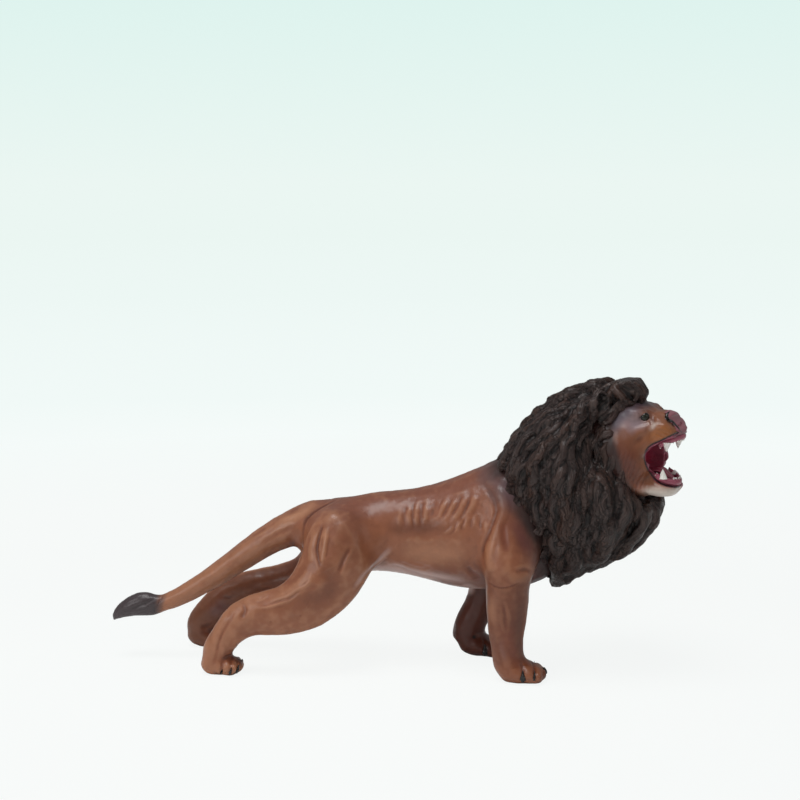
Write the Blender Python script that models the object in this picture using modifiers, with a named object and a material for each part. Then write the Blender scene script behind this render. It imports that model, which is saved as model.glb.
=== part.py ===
"""A roaring lion, about 26 cm long, moulded in soft vinyl.

The figure stands with its forelegs braced and its hind legs stretched back. It is sculpted as one skin
and then parted into castings, as such figures are: the body, four legs, a tail and its tuft. The head is
a casting of its own, turned to the lion's right, and the mane is a collar of locks held between the neck
and the cheeks. Square pegs on the castings sit in square sockets, so nothing can turn.

Metres, +Z up. The head looks toward +X, the lion's left side is +Y, and the soles stand on Z = 0.
"""

import math
import random

import bmesh
import bpy
import numpy as np
from mathutils import Matrix, Vector
from mathutils.bvhtree import BVHTree

# Seams, pegs and the grain of the modelled skin
seam_gap = 0.0003
bed_gap = 0.0004
overrun = 0.005
skin_voxel = 0.0013
head_voxel = 0.0009
mane_voxel = 0.0011
sharp_angle = math.radians(50.0)

# Trunk: from the hip to the breast, with its height at the withers
torso_length = 0.100
hip_x = -0.030
withers_height = 0.100
trunk_width = 0.050

# Neck
neck_width = 0.038
neck_depth = 0.040

# Forelegs
foreleg_depth = 0.020
foreleg_width = 0.018
front_paw_length = 0.0215
front_paw_width = 0.0185
front_paw_height = 0.0100
right_fore_y = -0.024
left_fore_y = 0.0160
left_fore_heel_lift = math.radians(7.0)

# Hind legs
hindleg_depth = 0.030
hindleg_width = 0.022
hind_paw_length = 0.0190
hind_paw_width = 0.0150
hind_paw_height = 0.0095
hind_stance = 0.0215
left_hind_heel_lift = math.radians(9.0)

# Toes
toe_length = 0.0085
toe_width = 0.0047
toe_height = 0.0062

# Tail and tuft
tail_length = 0.100
tail_fall = 0.050
tail_root_height = 0.070
tail_thickness = 0.016
tuft_thickness = 0.0115
tuft_width = 0.0095

# Head, from the neck seam to the nose tip and from the chin to the crown
head_length = 0.050
head_height = 0.050
head_width = 0.040
head_back_x = 0.0796
head_back_y = -0.0009
chin_height = 0.080
head_turn = math.radians(25.0)

# Mouth, teeth, tongue, nose and eyes
throat_width = 0.0170
lining_wall = 0.0011
canine_height = 0.0052
canine_root = 0.0013
incisor_height = 0.0020
incisor_root = 0.0008
tooth_tip_share = 0.20
gum_width = 0.0165
gum_thickness = 0.0016
tongue_length = 0.0165
tongue_width = 0.0085
tongue_thickness = 0.0022
nose_width = 0.0120
eye_radius = 0.0022
eye_bulge = 0.0005

# Mane and ears
mane_length = 0.080
mane_height = 0.100
mane_width = 0.076
mane_back_x = 0.043
mane_foot_height = 0.0365
lock_length = 0.0190
lock_width = 0.0068
lock_height = 0.0044
lock_wave = 0.0016
ear_width = 0.0110
ear_height = 0.0125
ear_thickness = 0.0060
ear_hollow = 0.0030

# Seams between the castings
shoulder_seam_radius = 0.018
shoulder_seam_height = 0.0425
chest_seam_width = 0.013
hip_seam_radius = 0.025
hip_seam_height = 0.052
hip_seam_start = math.radians(-50.0)
pelvis_width = 0.019

# Pegs
leg_peg_side = 0.006
leg_peg_length = 0.009
fore_peg_inset = 0.002
head_peg_side = 0.009
head_peg_length = 0.011
tuft_peg_side = 0.0028
tuft_peg_length = 0.0045
peg_root = 0.004


# Tables of shares, chosen by hand from the figure's outline.
# Trunk rows: place along the torso, top and bottom over the withers height, half width over the trunk width.
trunk_shares = [
    (-0.185, 0.690, 0.560, 0.150),
    (-0.120, 0.722, 0.480, 0.250),
    (-0.020, 0.755, 0.430, 0.310),
    (0.120, 0.780, 0.420, 0.320),
    (0.280, 0.792, 0.420, 0.330),
    (0.420, 0.815, 0.392, 0.370),
    (0.540, 0.855, 0.362, 0.420),
    (0.660, 0.905, 0.350, 0.450),
    (0.780, 0.965, 0.352, 0.460),
    (0.880, 1.010, 0.372, 0.430),
    (0.980, 1.030, 0.420, 0.370),
    (1.060, 1.030, 0.520, 0.280),
]
# Neck rows: place along the torso, height over the withers height, half width and half depth over the neck's.
neck_shares = [
    (0.840, 0.760, 0.450, 0.450),
    (0.980, 0.860, 0.480, 0.480),
    (1.100, 0.960, 0.460, 0.460),
    (1.200, 1.040, 0.440, 0.430),
]
# Leg rows: place along the torso, height, place of the middle between the trunk's middle and the foot's line,
# half depth and half width over the leg's own depth and width.
right_fore_shares = [
    (0.830, 0.880, 0.560, 0.450, 0.240),
    (0.820, 0.790, 0.660, 0.620, 0.340),
    (0.810, 0.690, 0.760, 0.720, 0.440),
    (0.800, 0.590, 0.870, 0.700, 0.520),
    (0.790, 0.500, 0.960, 0.600, 0.540),
    (0.787, 0.430, 1.000, 0.500, 0.520),
    (0.786, 0.340, 1.000, 0.475, 0.490),
    (0.784, 0.250, 1.000, 0.430, 0.450),
    (0.785, 0.170, 1.000, 0.370, 0.415),
    (0.790, 0.115, 1.000, 0.360, 0.410),
    (0.802, 0.060, 1.010, 0.370, 0.420),
]
left_fore_shares = [
    (0.790, 0.860, 0.800, 0.480, 0.260),
    (0.775, 0.750, 0.960, 0.650, 0.400),
    (0.755, 0.640, 1.120, 0.690, 0.500),
    (0.735, 0.550, 1.170, 0.640, 0.540),
    (0.712, 0.450, 1.120, 0.520, 0.500),
    (0.692, 0.340, 1.060, 0.410, 0.440),
    (0.662, 0.240, 1.020, 0.365, 0.400),
    (0.625, 0.165, 1.000, 0.365, 0.390),
    (0.608, 0.115, 1.000, 0.375, 0.400),
    (0.605, 0.070, 1.000, 0.370, 0.410),
]
right_hind_shares = [
    (0.060, 0.715, 0.440, 0.300, 0.260),
    (0.050, 0.670, 0.560, 0.430, 0.400),
    (0.040, 0.590, 0.680, 0.520, 0.500),
    (0.030, 0.500, 0.800, 0.540, 0.520),
    (-0.030, 0.400, 0.900, 0.490, 0.490),
    (-0.110, 0.325, 0.970, 0.430, 0.430),
    (-0.210, 0.285, 1.010, 0.370, 0.370),
    (-0.330, 0.265, 1.020, 0.315, 0.310),
    (-0.405, 0.228, 1.020, 0.275, 0.290),
    (-0.458, 0.170, 1.020, 0.228, 0.285),
    (-0.496, 0.112, 1.020, 0.222, 0.290),
    (-0.505, 0.062, 1.020, 0.225, 0.300),
]
left_hind_shares = [
    (0.060, 0.715, 0.440, 0.300, 0.260),
    (0.050, 0.670, 0.560, 0.430, 0.400),
    (0.035, 0.590, 0.660, 0.520, 0.500),
    (0.010, 0.500, 0.760, 0.530, 0.510),
    (-0.055, 0.400, 0.850, 0.480, 0.480),
    (-0.140, 0.330, 0.900, 0.410, 0.420),
    (-0.260, 0.298, 0.930, 0.350, 0.360),
    (-0.420, 0.275, 0.940, 0.300, 0.310),
    (-0.520, 0.240, 0.950, 0.280, 0.290),
    (-0.596, 0.180, 0.960, 0.240, 0.285),
    (-0.646, 0.120, 0.960, 0.232, 0.290),
    (-0.660, 0.075, 0.960, 0.228, 0.300),
]
# Paw rows: place along the paw from heel to toe, middle height and half height over the paw's height, half width.
paw_shares = [
    (0.000, 0.440, 0.180, 0.200),
    (0.120, 0.430, 0.470, 0.400),
    (0.400, 0.400, 0.560, 0.480),
    (0.640, 0.360, 0.470, 0.490),
    (0.840, 0.320, 0.330, 0.420),
    (0.960, 0.280, 0.140, 0.250),
]
# A lifted paw turns about the ball of its toes, this far below the ground over its height.
ball_share = 0.700
press_share = 0.050
# Where the ankle stands over the paw, from the heel.
front_heel_share = 0.24
hind_heel_share = 0.36
# Toe rows: place along the paw, side place over the paw's width, height over the paw's height.
toe_shares = [
    (0.740, -0.380, 0.300),
    (0.820, -0.130, 0.340),
    (0.820, 0.130, 0.340),
    (0.740, 0.380, 0.300),
]
# Tail rows: place back from the hip, fall from the root, half thickness over the tail's thickness.
tail_shares = [
    (-0.060, 0.020, 0.250),
    (0.040, 0.060, 0.540),
    (0.150, 0.140, 0.540),
    (0.280, 0.260, 0.450),
    (0.420, 0.450, 0.385),
    (0.570, 0.660, 0.325),
    (0.710, 0.825, 0.275),
    (0.800, 0.898, 0.240),
    (0.845, 0.920, 0.225),
]
# Tuft rows: place back from the hip, fall from the root, half thickness and half width over the tuft's.
tuft_shares = [
    (0.790, 0.890, 0.330, 0.360),
    (0.835, 0.905, 0.460, 0.480),
    (0.885, 0.900, 0.500, 0.500),
    (0.940, 0.930, 0.410, 0.450),
    (0.985, 0.975, 0.300, 0.360),
    (1.012, 1.030, 0.170, 0.220),
    (1.020, 1.075, 0.070, 0.080),
]
# Where the tuft's seam lies back from the hip, over the tail's length.
tuft_seam_share = 0.802
# Tail seam: places back from the hip over the tail's length and up from its root over its thickness.
tail_seam_shares = [
    (0.170, -0.500),
    (0.140, -0.200),
    (-0.060, 0.380),
]
# Skull rows: place from the neck seam to the nose, top and bottom over the head's height, half width.
skull_shares = [
    (0.000, 0.780, 0.180, 0.370),
    (0.120, 0.890, 0.080, 0.430),
    (0.280, 0.930, 0.020, 0.465),
    (0.420, 0.925, 0.020, 0.470),
    (0.540, 0.890, 0.040, 0.440),
    (0.640, 0.850, 0.110, 0.385),
    (0.720, 0.820, 0.280, 0.335),
    (0.800, 0.795, 0.430, 0.300),
    (0.870, 0.775, 0.520, 0.275),
    (0.930, 0.755, 0.570, 0.235),
    (0.970, 0.690, 0.600, 0.130),
]
# Jaw rows: place along the head, middle height and half height over the head's height, half width.
jaw_shares = [
    (0.400, 0.220, 0.220, 0.400),
    (0.540, 0.160, 0.180, 0.390),
    (0.660, 0.120, 0.150, 0.350),
    (0.780, 0.100, 0.115, 0.310),
    (0.880, 0.100, 0.095, 0.270),
    (0.945, 0.105, 0.070, 0.210),
    (0.980, 0.110, 0.035, 0.100),
]
# Brow and cheek mounds: place along the head, side place, height, and half sizes over the head's length.
mound_shares = [
    (0.580, 0.225, 0.765, 0.140, 0.100, 0.065),
    (0.500, 0.270, 0.400, 0.220, 0.170, 0.340),
    (0.820, 0.180, 0.590, 0.120, 0.085, 0.090),
]
# Mouth outline, from the upper lip round the corner to the lower lip: place along the head and height.
mouth_shares = [
    (1.080, 0.600),
    (0.960, 0.590),
    (0.880, 0.560),
    (0.800, 0.515),
    (0.730, 0.475),
    (0.690, 0.420),
    (0.700, 0.330),
    (0.740, 0.260),
    (0.790, 0.210),
    (0.880, 0.165),
    (0.970, 0.142),
    (1.080, 0.140),
]
# Throat pocket rows: place along the head, middle height, half height over the head's height, half width share.
throat_shares = [
    (0.340, 0.400, 0.050, 0.220),
    (0.400, 0.390, 0.100, 0.400),
    (0.520, 0.375, 0.140, 0.500),
    (0.650, 0.368, 0.150, 0.500),
    (0.770, 0.370, 0.145, 0.460),
]
# Nose outline in the head's side view, from the bridge over the tip and back along the pad's lower edge.
nose_shares = [
    (0.790, 0.900),
    (1.070, 0.900),
    (1.070, 0.592),
    (0.932, 0.592),
    (0.905, 0.640),
    (0.860, 0.705),
    (0.820, 0.745),
]
# Mane rows: height, back and front over the mane's length, half width over its width, share of the head's turn.
mane_shares = [
    (0.010, 0.310, 0.390, 0.050, 0.0),
    (0.060, 0.290, 0.460, 0.160, 0.0),
    (0.150, 0.245, 0.635, 0.290, 0.1),
    (0.260, 0.180, 0.780, 0.390, 0.2),
    (0.370, 0.105, 0.870, 0.440, 0.4),
    (0.470, 0.060, 0.850, 0.465, 0.6),
    (0.560, 0.045, 0.740, 0.465, 0.8),
    (0.660, 0.105, 0.700, 0.440, 1.0),
    (0.750, 0.200, 0.710, 0.400, 1.0),
    (0.830, 0.320, 0.760, 0.335, 1.0),
    (0.890, 0.440, 0.790, 0.250, 1.0),
    (0.925, 0.560, 0.770, 0.140, 1.0),
]
# Room for a foreleg at its seam over the leg's depth, and the length and height of the room for its paw, over
# the paw's length and the seam's height.
foreleg_room_share = 0.62
paw_room_share = 2.0
knee_share = 0.75
# Lock rows along a lock: half width, half height and lift over the lock's own sizes.
lock_shares = [
    (0.200, 0.250, -0.100),
    (0.420, 0.450, 0.050),
    (0.500, 0.500, 0.150),
    (0.480, 0.500, 0.200),
    (0.380, 0.440, 0.220),
    (0.230, 0.320, 0.200),
    (0.060, 0.100, 0.150),
]
# Heights of the rings of locks over the mane's height, and how many each ring holds.
lock_rings = [
    (0.160, 9),
    (0.240, 12),
    (0.330, 14),
    (0.430, 15),
    (0.530, 15),
    (0.620, 15),
    (0.710, 14),
    (0.790, 13),
    (0.860, 11),
    (0.920, 8),
]
# Where the face keeps the mane free: heights over the mane's height and half the open angle.
face_window_share = (0.500, 0.855)
face_window_angle = math.radians(50.0)
# Horseshoe of the gums: its front and the depth of its curve along the head.
gum_front_share = 0.925
gum_back_share = 0.150
# Tongue rows: place along the tongue, height over the head's height, half width and half thickness over its own.
tongue_back_share = 0.560
tongue_shares = [
    (0.000, 0.262, 0.250, 0.250),
    (0.180, 0.254, 0.440, 0.440),
    (0.420, 0.258, 0.500, 0.500),
    (0.640, 0.268, 0.500, 0.500),
    (0.790, 0.240, 0.460, 0.460),
    (0.910, 0.212, 0.360, 0.400),
    (1.000, 0.195, 0.180, 0.220),
]
# Eyes: place along the head and height.
eye_shares = (0.690, 0.755)
# Ear hollow: place ahead of the ear's middle over its thickness, half width and half height over its own.
ear_hollow_shares = (0.620, 0.320, 0.340)
# Hair: how far back it sweeps as it falls, how much a lock leans and waves, how high it looks for its root,
# and how far its root may stray from an even ring.
sweep_share = -0.42
lean_share = 0.12
wave_share = 4.0
root_rise_share = 0.25
stray_share = 0.2
# Ear middles: place along the head, side place over the head's width, height over the head's height.
ear_shares = (0.330, 0.470, 0.880)

# Counts of sides and steps
limb_sides = 16
mouth_sides = 12
mouth_steps = 2
tooth_sides = 6
canine_places = (3, 11)
incisor_places = (6, 7, 8)
trunk_sides = 28
path_steps = 4
lock_sides = 6
arc_steps = 14
ball_sides = 12
ball_rings = 8
bead_sides = 10
bead_rings = 6
skin_soften_count = 4
head_soften_count = 3
mane_soften_count = 2
hair_seed_count = 7

# Triangle counts aimed at for each cast surface
skin_faces = 4200
head_faces = 1400
mane_faces = 3200


# Scene and materials
def clear_scene():
    for old in list(bpy.data.objects):
        bpy.data.objects.remove(old)


def new_collection(name):
    collection = bpy.data.collections.new(name)
    bpy.context.scene.collection.children.link(collection)
    return collection


def add_object(name, mesh, collection):
    obj = bpy.data.objects.new(name, mesh)
    collection.objects.link(obj)
    return obj


def as_cutter(obj):
    obj.hide_render = True
    obj.display_type = "WIRE"
    return obj


def vinyl(name, colour, roughness):
    material = bpy.data.materials.new(name)
    material.use_nodes = True
    shader = material.node_tree.nodes["Principled BSDF"]
    shader.inputs["Base Color"].default_value = (*colour, 1.0)
    shader.inputs["Roughness"].default_value = roughness
    shader.inputs["Metallic"].default_value = 0.0
    material.diffuse_color = (*colour, 1.0)
    return material


def finish_piece(obj, material):
    obj.data.materials.clear()
    obj.data.materials.append(material)
    obj.data.shade_smooth()
    obj.data.set_sharp_from_angle(angle=sharp_angle)
    return obj


# Modifier helpers
def bake(obj):
    """Replaces the object's mesh by what its modifiers make of it."""
    bpy.context.view_layer.update()
    graph = bpy.context.evaluated_depsgraph_get()
    mesh = bpy.data.meshes.new_from_object(obj.evaluated_get(graph))
    obj.modifiers.clear()
    obj.data = mesh
    return obj


def boolean(obj, other, operation, solver="EXACT"):
    modifier = obj.modifiers.new(operation.lower(), "BOOLEAN")
    modifier.operation = operation
    modifier.solver = solver
    modifier.object = other
    return bake(obj)


def copy_of(obj, name, collection):
    twin = add_object(name, obj.data.copy(), collection)
    twin.matrix_world = obj.matrix_world.copy()
    return twin


def parted(obj, region, name, collection):
    """The part of obj that lies inside the region, as a new object."""
    piece = copy_of(obj, name, collection)
    return boolean(piece, region, "INTERSECT")


def grown(obj, name, distance, collection):
    """A copy whose surface lies this far outside the original."""
    twin = copy_of(obj, name, collection)
    modifier = twin.modifiers.new("grow", "DISPLACE")
    modifier.direction = "NORMAL"
    modifier.mid_level = 0.0
    modifier.strength = distance
    return as_cutter(bake(twin))


def sculpted(obj, voxel, smoothing, faces):
    """Melts overlapping forms into one skin, softens it and thins its triangles."""
    melt = obj.modifiers.new("melt", "REMESH")
    melt.mode = "VOXEL"
    melt.voxel_size = voxel
    soften = obj.modifiers.new("soften", "SMOOTH")
    soften.factor = 0.5
    soften.iterations = smoothing
    bake(obj)
    triangles = sum(len(face.vertices) - 2 for face in obj.data.polygons)
    thin = obj.modifiers.new("thin", "DECIMATE")
    thin.ratio = min(1.0, faces / triangles)
    return bake(obj)


def largest_body(obj):
    """Drops loose crumbs that a cut may leave, and keeps the main body."""
    form = bmesh.new()
    form.from_mesh(obj.data)
    left = set(form.verts)
    bodies = []
    while left:
        seed = left.pop()
        body = [seed]
        reach = [seed]
        while reach:
            vertex = reach.pop()
            for edge in vertex.link_edges:
                other = edge.other_vert(vertex)
                if other in left:
                    left.remove(other)
                    body.append(other)
                    reach.append(other)
        bodies.append(body)
    bodies.sort(key=len, reverse=True)
    for body in bodies[1:]:
        bmesh.ops.delete(form, geom=body, context="VERTS")
    form.to_mesh(obj.data)
    form.free()
    return obj


# Form helpers
def smooth_rows(rows, steps):
    """Rows between the given ones, along a Catmull-Rom curve through them."""
    table = np.array([[*row] for row in rows], float)
    padded = np.vstack([2 * table[0] - table[1], table, 2 * table[-1] - table[-2]])
    found = []
    for place in range(len(table) - 1):
        before, start, end, after = padded[place : place + 4]
        for step in range(steps):
            t = step / steps
            found.append(
                0.5
                * (
                    2 * start
                    + (end - before) * t
                    + (2 * before - 5 * start + 4 * end - after) * t**2
                    + (3 * start - before - 3 * end + after) * t**3
                )
            )
    found.append(table[-1])
    return found


def add_loft(form, rings):
    """Skins a row of rings of the same count and closes both ends."""
    layers = []
    for ring in rings:
        layers.append([form.verts.new(point) for point in ring])
    count = len(layers[0])
    for low, high in zip(layers, layers[1:]):
        for side in range(count):
            after = (side + 1) % count
            form.faces.new((low[side], low[after], high[after], high[side]))
    form.faces.new(reversed(layers[0]))
    form.faces.new(layers[-1])


def ring_points(centre, across, up, sides):
    points = []
    for side in range(sides):
        angle = 2 * math.pi * side / sides
        points.append(centre + across * math.cos(angle) + up * math.sin(angle))
    return points


def tube_rings(centres, widths, depths, sides):
    """Rings square to the path through the centres, their widths laid along Y."""
    rings = []
    last = len(centres) - 1
    for place, centre in enumerate(centres):
        along = centres[min(place + 1, last)] - centres[max(place - 1, 0)]
        along.normalize()
        across = Vector((0.0, 1.0, 0.0))
        across = (across - along * across.dot(along)).normalized()
        up = along.cross(across)
        rings.append(ring_points(centre, across * widths[place], up * depths[place], sides))
    return rings


def add_ball(form, centre, half_sizes, turn):
    shape = Matrix.Translation(centre) @ turn @ Matrix.Diagonal((*half_sizes, 1.0))
    bmesh.ops.create_uvsphere(form, u_segments=ball_sides, v_segments=ball_rings, radius=1.0, matrix=shape)


def add_form(name, form, collection):
    bmesh.ops.recalc_face_normals(form, faces=form.faces[:])
    mesh = bpy.data.meshes.new(name)
    form.to_mesh(mesh)
    form.free()
    return add_object(name, mesh, collection)


def offset_outline(points, distance):
    """The outline moved outward by the distance, with mitred corners. Points run anticlockwise."""
    count = len(points)
    moved = []
    for place in range(count):
        before = Vector(points[place]) - Vector(points[place - 1])
        after = Vector(points[(place + 1) % count]) - Vector(points[place])
        first = Vector((before.y, -before.x)).normalized()
        second = Vector((after.y, -after.x)).normalized()
        mitre = (first + second) / (1.0 + first.dot(second))
        moved.append(tuple(Vector(points[place]) + mitre * distance))
    return moved


def add_prism(name, outline, near, far, collection):
    """A cutter that holds an outline in X and Z and runs from near to far along Y."""
    form = bmesh.new()
    corners = [form.verts.new((x, near, z)) for x, z in outline]
    face = form.faces.new(corners)
    swept = bmesh.ops.extrude_face_region(form, geom=[face])
    moved = [item for item in swept["geom"] if isinstance(item, bmesh.types.BMVert)]
    bmesh.ops.translate(form, verts=moved, vec=(0.0, far - near, 0.0))
    return as_cutter(add_form(name, form, collection))


def add_bar(name, centre, sizes, turn, collection):
    form = bmesh.new()
    shape = Matrix.Translation(centre) @ turn @ Matrix.Diagonal((*sizes, 1.0))
    bmesh.ops.create_cube(form, size=1.0, matrix=shape)
    return as_cutter(add_form(name, form, collection))


def arc(centre, radius, start, end):
    points = []
    for step in range(arc_steps + 1):
        angle = start + (end - start) * step / arc_steps
        points.append((centre[0] + radius * math.cos(angle), centre[1] + radius * math.sin(angle)))
    return points


# Places on the figure
def trunk_place(share):
    return hip_x + share * torso_length


def head_frame():
    """From the head's own axes, with its origin on the ground under the neck seam, to the figure's."""
    return Matrix.Translation((head_back_x, head_back_y, 0.0)) @ Matrix.Rotation(-head_turn, 4, "Z")


def head_point(along, side, height):
    local = Vector((along * head_length, side * head_width, chin_height + height * head_height))
    return head_frame() @ local


# Skin of the body
def add_trunk(form):
    rings = []
    for x, top, bottom, half in smooth_rows(trunk_shares, path_steps):
        middle = (top + bottom) / 2 * withers_height
        centre = Vector((trunk_place(x), 0.0, middle))
        up = Vector((0.0, 0.0, (top - bottom) / 2 * withers_height))
        across = Vector((0.0, half * trunk_width, 0.0))
        rings.append(ring_points(centre, across, up, trunk_sides))
    add_loft(form, rings)


def add_neck(form):
    centres = []
    widths = []
    depths = []
    for x, height, half_width, half_depth in smooth_rows(neck_shares, path_steps):
        centres.append(Vector((trunk_place(x), 0.0, height * withers_height)))
        widths.append(half_width * neck_width)
        depths.append(half_depth * neck_depth)
    add_loft(form, tube_rings(centres, widths, depths, trunk_sides))


def add_leg(form, shares, foot_y, leg_depth, leg_width):
    centres = []
    widths = []
    depths = []
    for x, height, side, half_depth, half_width in smooth_rows(shares, path_steps):
        centres.append(Vector((trunk_place(x), side * foot_y, height * withers_height)))
        widths.append(half_width * leg_width)
        depths.append(half_depth * leg_depth)
    add_loft(form, tube_rings(centres, widths, depths, limb_sides))


def add_paw(form, heel_x, foot_y, length, width, height, raise_angle):
    """A paw whose heel is lifted by the angle about the balls of its toes, which press on the ground."""
    pivot = Vector((heel_x + length * ball_share, foot_y, -height * press_share))
    lift = Matrix.Translation(pivot) @ Matrix.Rotation(raise_angle, 4, "Y") @ Matrix.Translation(-pivot)
    rings = []
    for along, middle, half_height, half_width in smooth_rows(paw_shares, path_steps):
        centre = Vector((heel_x + along * length, foot_y, middle * height))
        across = Vector((0.0, half_width * width, 0.0))
        up = Vector((0.0, 0.0, half_height * height))
        rings.append([lift @ point for point in ring_points(centre, across, up, limb_sides)])
    add_loft(form, rings)
    for along, side, middle in toe_shares:
        centre = lift @ Vector((heel_x + along * length, foot_y + side * width, middle * height))
        half_sizes = (toe_length / 2, toe_width / 2, toe_height / 2)
        add_ball(form, centre, half_sizes, Matrix.Rotation(raise_angle, 4, "Y"))


def add_tail(form):
    centres = []
    widths = []
    for back, fall, half in smooth_rows(tail_shares, path_steps):
        place = Vector((hip_x - back * tail_length, 0.0, tail_root_height - fall * tail_fall))
        centres.append(place)
        widths.append(half * tail_thickness)
    add_loft(form, tube_rings(centres, widths, widths, limb_sides))


def add_tuft(form):
    centres = []
    widths = []
    depths = []
    for back, fall, half_depth, half_width in smooth_rows(tuft_shares, path_steps):
        place = Vector((hip_x - back * tail_length, 0.0, tail_root_height - fall * tail_fall))
        centres.append(place)
        widths.append(half_width * tuft_width)
        depths.append(half_depth * tuft_thickness)
    add_loft(form, tube_rings(centres, widths, depths, limb_sides))


def make_skin(guides):
    """Trunk, neck, legs, paws, tail and tuft, melted into one skin and cut flat under the soles."""
    form = bmesh.new()
    add_trunk(form)
    add_neck(form)
    add_leg(form, right_fore_shares, right_fore_y, foreleg_depth, foreleg_width)
    add_leg(form, left_fore_shares, left_fore_y, foreleg_depth, foreleg_width)
    add_leg(form, right_hind_shares, -hind_stance, hindleg_depth, hindleg_width)
    add_leg(form, left_hind_shares, hind_stance, hindleg_depth, hindleg_width)
    fore_heel = trunk_place(right_fore_shares[-1][0]) - front_paw_length * front_heel_share
    left_heel = trunk_place(left_fore_shares[-1][0]) - front_paw_length * front_heel_share
    hind_heel = trunk_place(right_hind_shares[-1][0]) - hind_paw_length * hind_heel_share
    back_heel = trunk_place(left_hind_shares[-1][0]) - hind_paw_length * hind_heel_share
    front_paw = (front_paw_length, front_paw_width, front_paw_height)
    hind_paw = (hind_paw_length, hind_paw_width, hind_paw_height)
    add_paw(form, fore_heel, right_fore_y, *front_paw, 0.0)
    add_paw(form, left_heel, left_fore_y, *front_paw, left_fore_heel_lift)
    add_paw(form, hind_heel, -hind_stance, *hind_paw, 0.0)
    add_paw(form, back_heel, hind_stance, *hind_paw, left_hind_heel_lift)
    add_tail(form)
    add_tuft(form)
    skin = as_cutter(add_form("skin", form, guides))
    sculpted(skin, skin_voxel, skin_soften_count, skin_faces)
    reach = torso_length + tail_length + mane_length
    ground_centre = Vector((0.0, 0.0, -withers_height / 2))
    ground = add_bar("ground", ground_centre, (2 * reach, reach, withers_height), Matrix(), guides)
    return boolean(skin, ground, "DIFFERENCE")


# Seams of the castings
def tuft_seam():
    return hip_x - tuft_seam_share * tail_length


def hip_outline():
    """Round the haunch and down over the whole hind leg."""
    behind = hip_x - tail_length - overrun
    back = hip_x - hip_seam_radius
    front = hip_x + hip_seam_radius * math.cos(hip_seam_start)
    outline = [(behind, -overrun), (front, -overrun)]
    outline += arc((hip_x, hip_seam_height), hip_seam_radius, hip_seam_start, math.pi)
    outline += [(back, hip_seam_height - overrun), (behind, hip_seam_height - overrun)]
    return outline


def shoulder_outline(middle, back, front, heel):
    """A leg's space, closed at the top by the round lobe of the shoulder and wide enough below for the paw."""
    centre = (middle, shoulder_seam_height + shoulder_seam_radius)
    start = -math.acos((front - middle) / shoulder_seam_radius)
    end = -math.acos((back - middle) / shoulder_seam_radius)
    knee_height = shoulder_seam_height * knee_share
    toe = heel + paw_room_share * front_paw_length
    outline = [(heel, -overrun), (toe, -overrun), (toe, knee_height), (front, knee_height)]
    outline += arc(centre, shoulder_seam_radius, start, end)
    outline += [(back, knee_height), (heel, knee_height)]
    return outline


def tail_outline():
    """Behind a step in the rump, which runs forward under the tail's root."""
    top = withers_height + overrun
    far = hip_x - tail_length - tail_length
    step = [
        (hip_x - back * tail_length, tail_root_height + up * tail_thickness)
        for back, up in tail_seam_shares
    ]
    return [(far, -overrun), (step[0][0], -overrun), *step, (step[-1][0], top), (far, top)]


def tuft_outline():
    far = hip_x - tail_length - tail_length
    near = tuft_seam()
    return [(far, -overrun), (near, -overrun), (near, withers_height), (far, withers_height)]


def part_off(rest, name, outline, near, far, parts, guides):
    """Takes the casting inside the outline from the rest, and leaves the seam gap between them."""
    region = add_prism(name + "_seam", outline, near, far, guides)
    piece = largest_body(parted(rest, region, name, parts))
    wide = offset_outline(outline, seam_gap)
    wide_region = add_prism(name + "_seam_wide", wide, near - seam_gap, far + seam_gap, guides)
    boolean(rest, wide_region, "DIFFERENCE")
    largest_body(rest)
    return piece


def join_by_peg(piece, body, name, centre, sizes, turn, guides):
    """A square peg on the piece, and its socket in the body."""
    peg = add_bar(name + "_peg", centre, sizes, turn, guides)
    socket_sizes = [size + 2 * seam_gap for size in sizes]
    socket = add_bar(name + "_socket", centre, socket_sizes, turn, guides)
    boolean(piece, peg, "UNION")
    boolean(body, socket, "DIFFERENCE")


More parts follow.
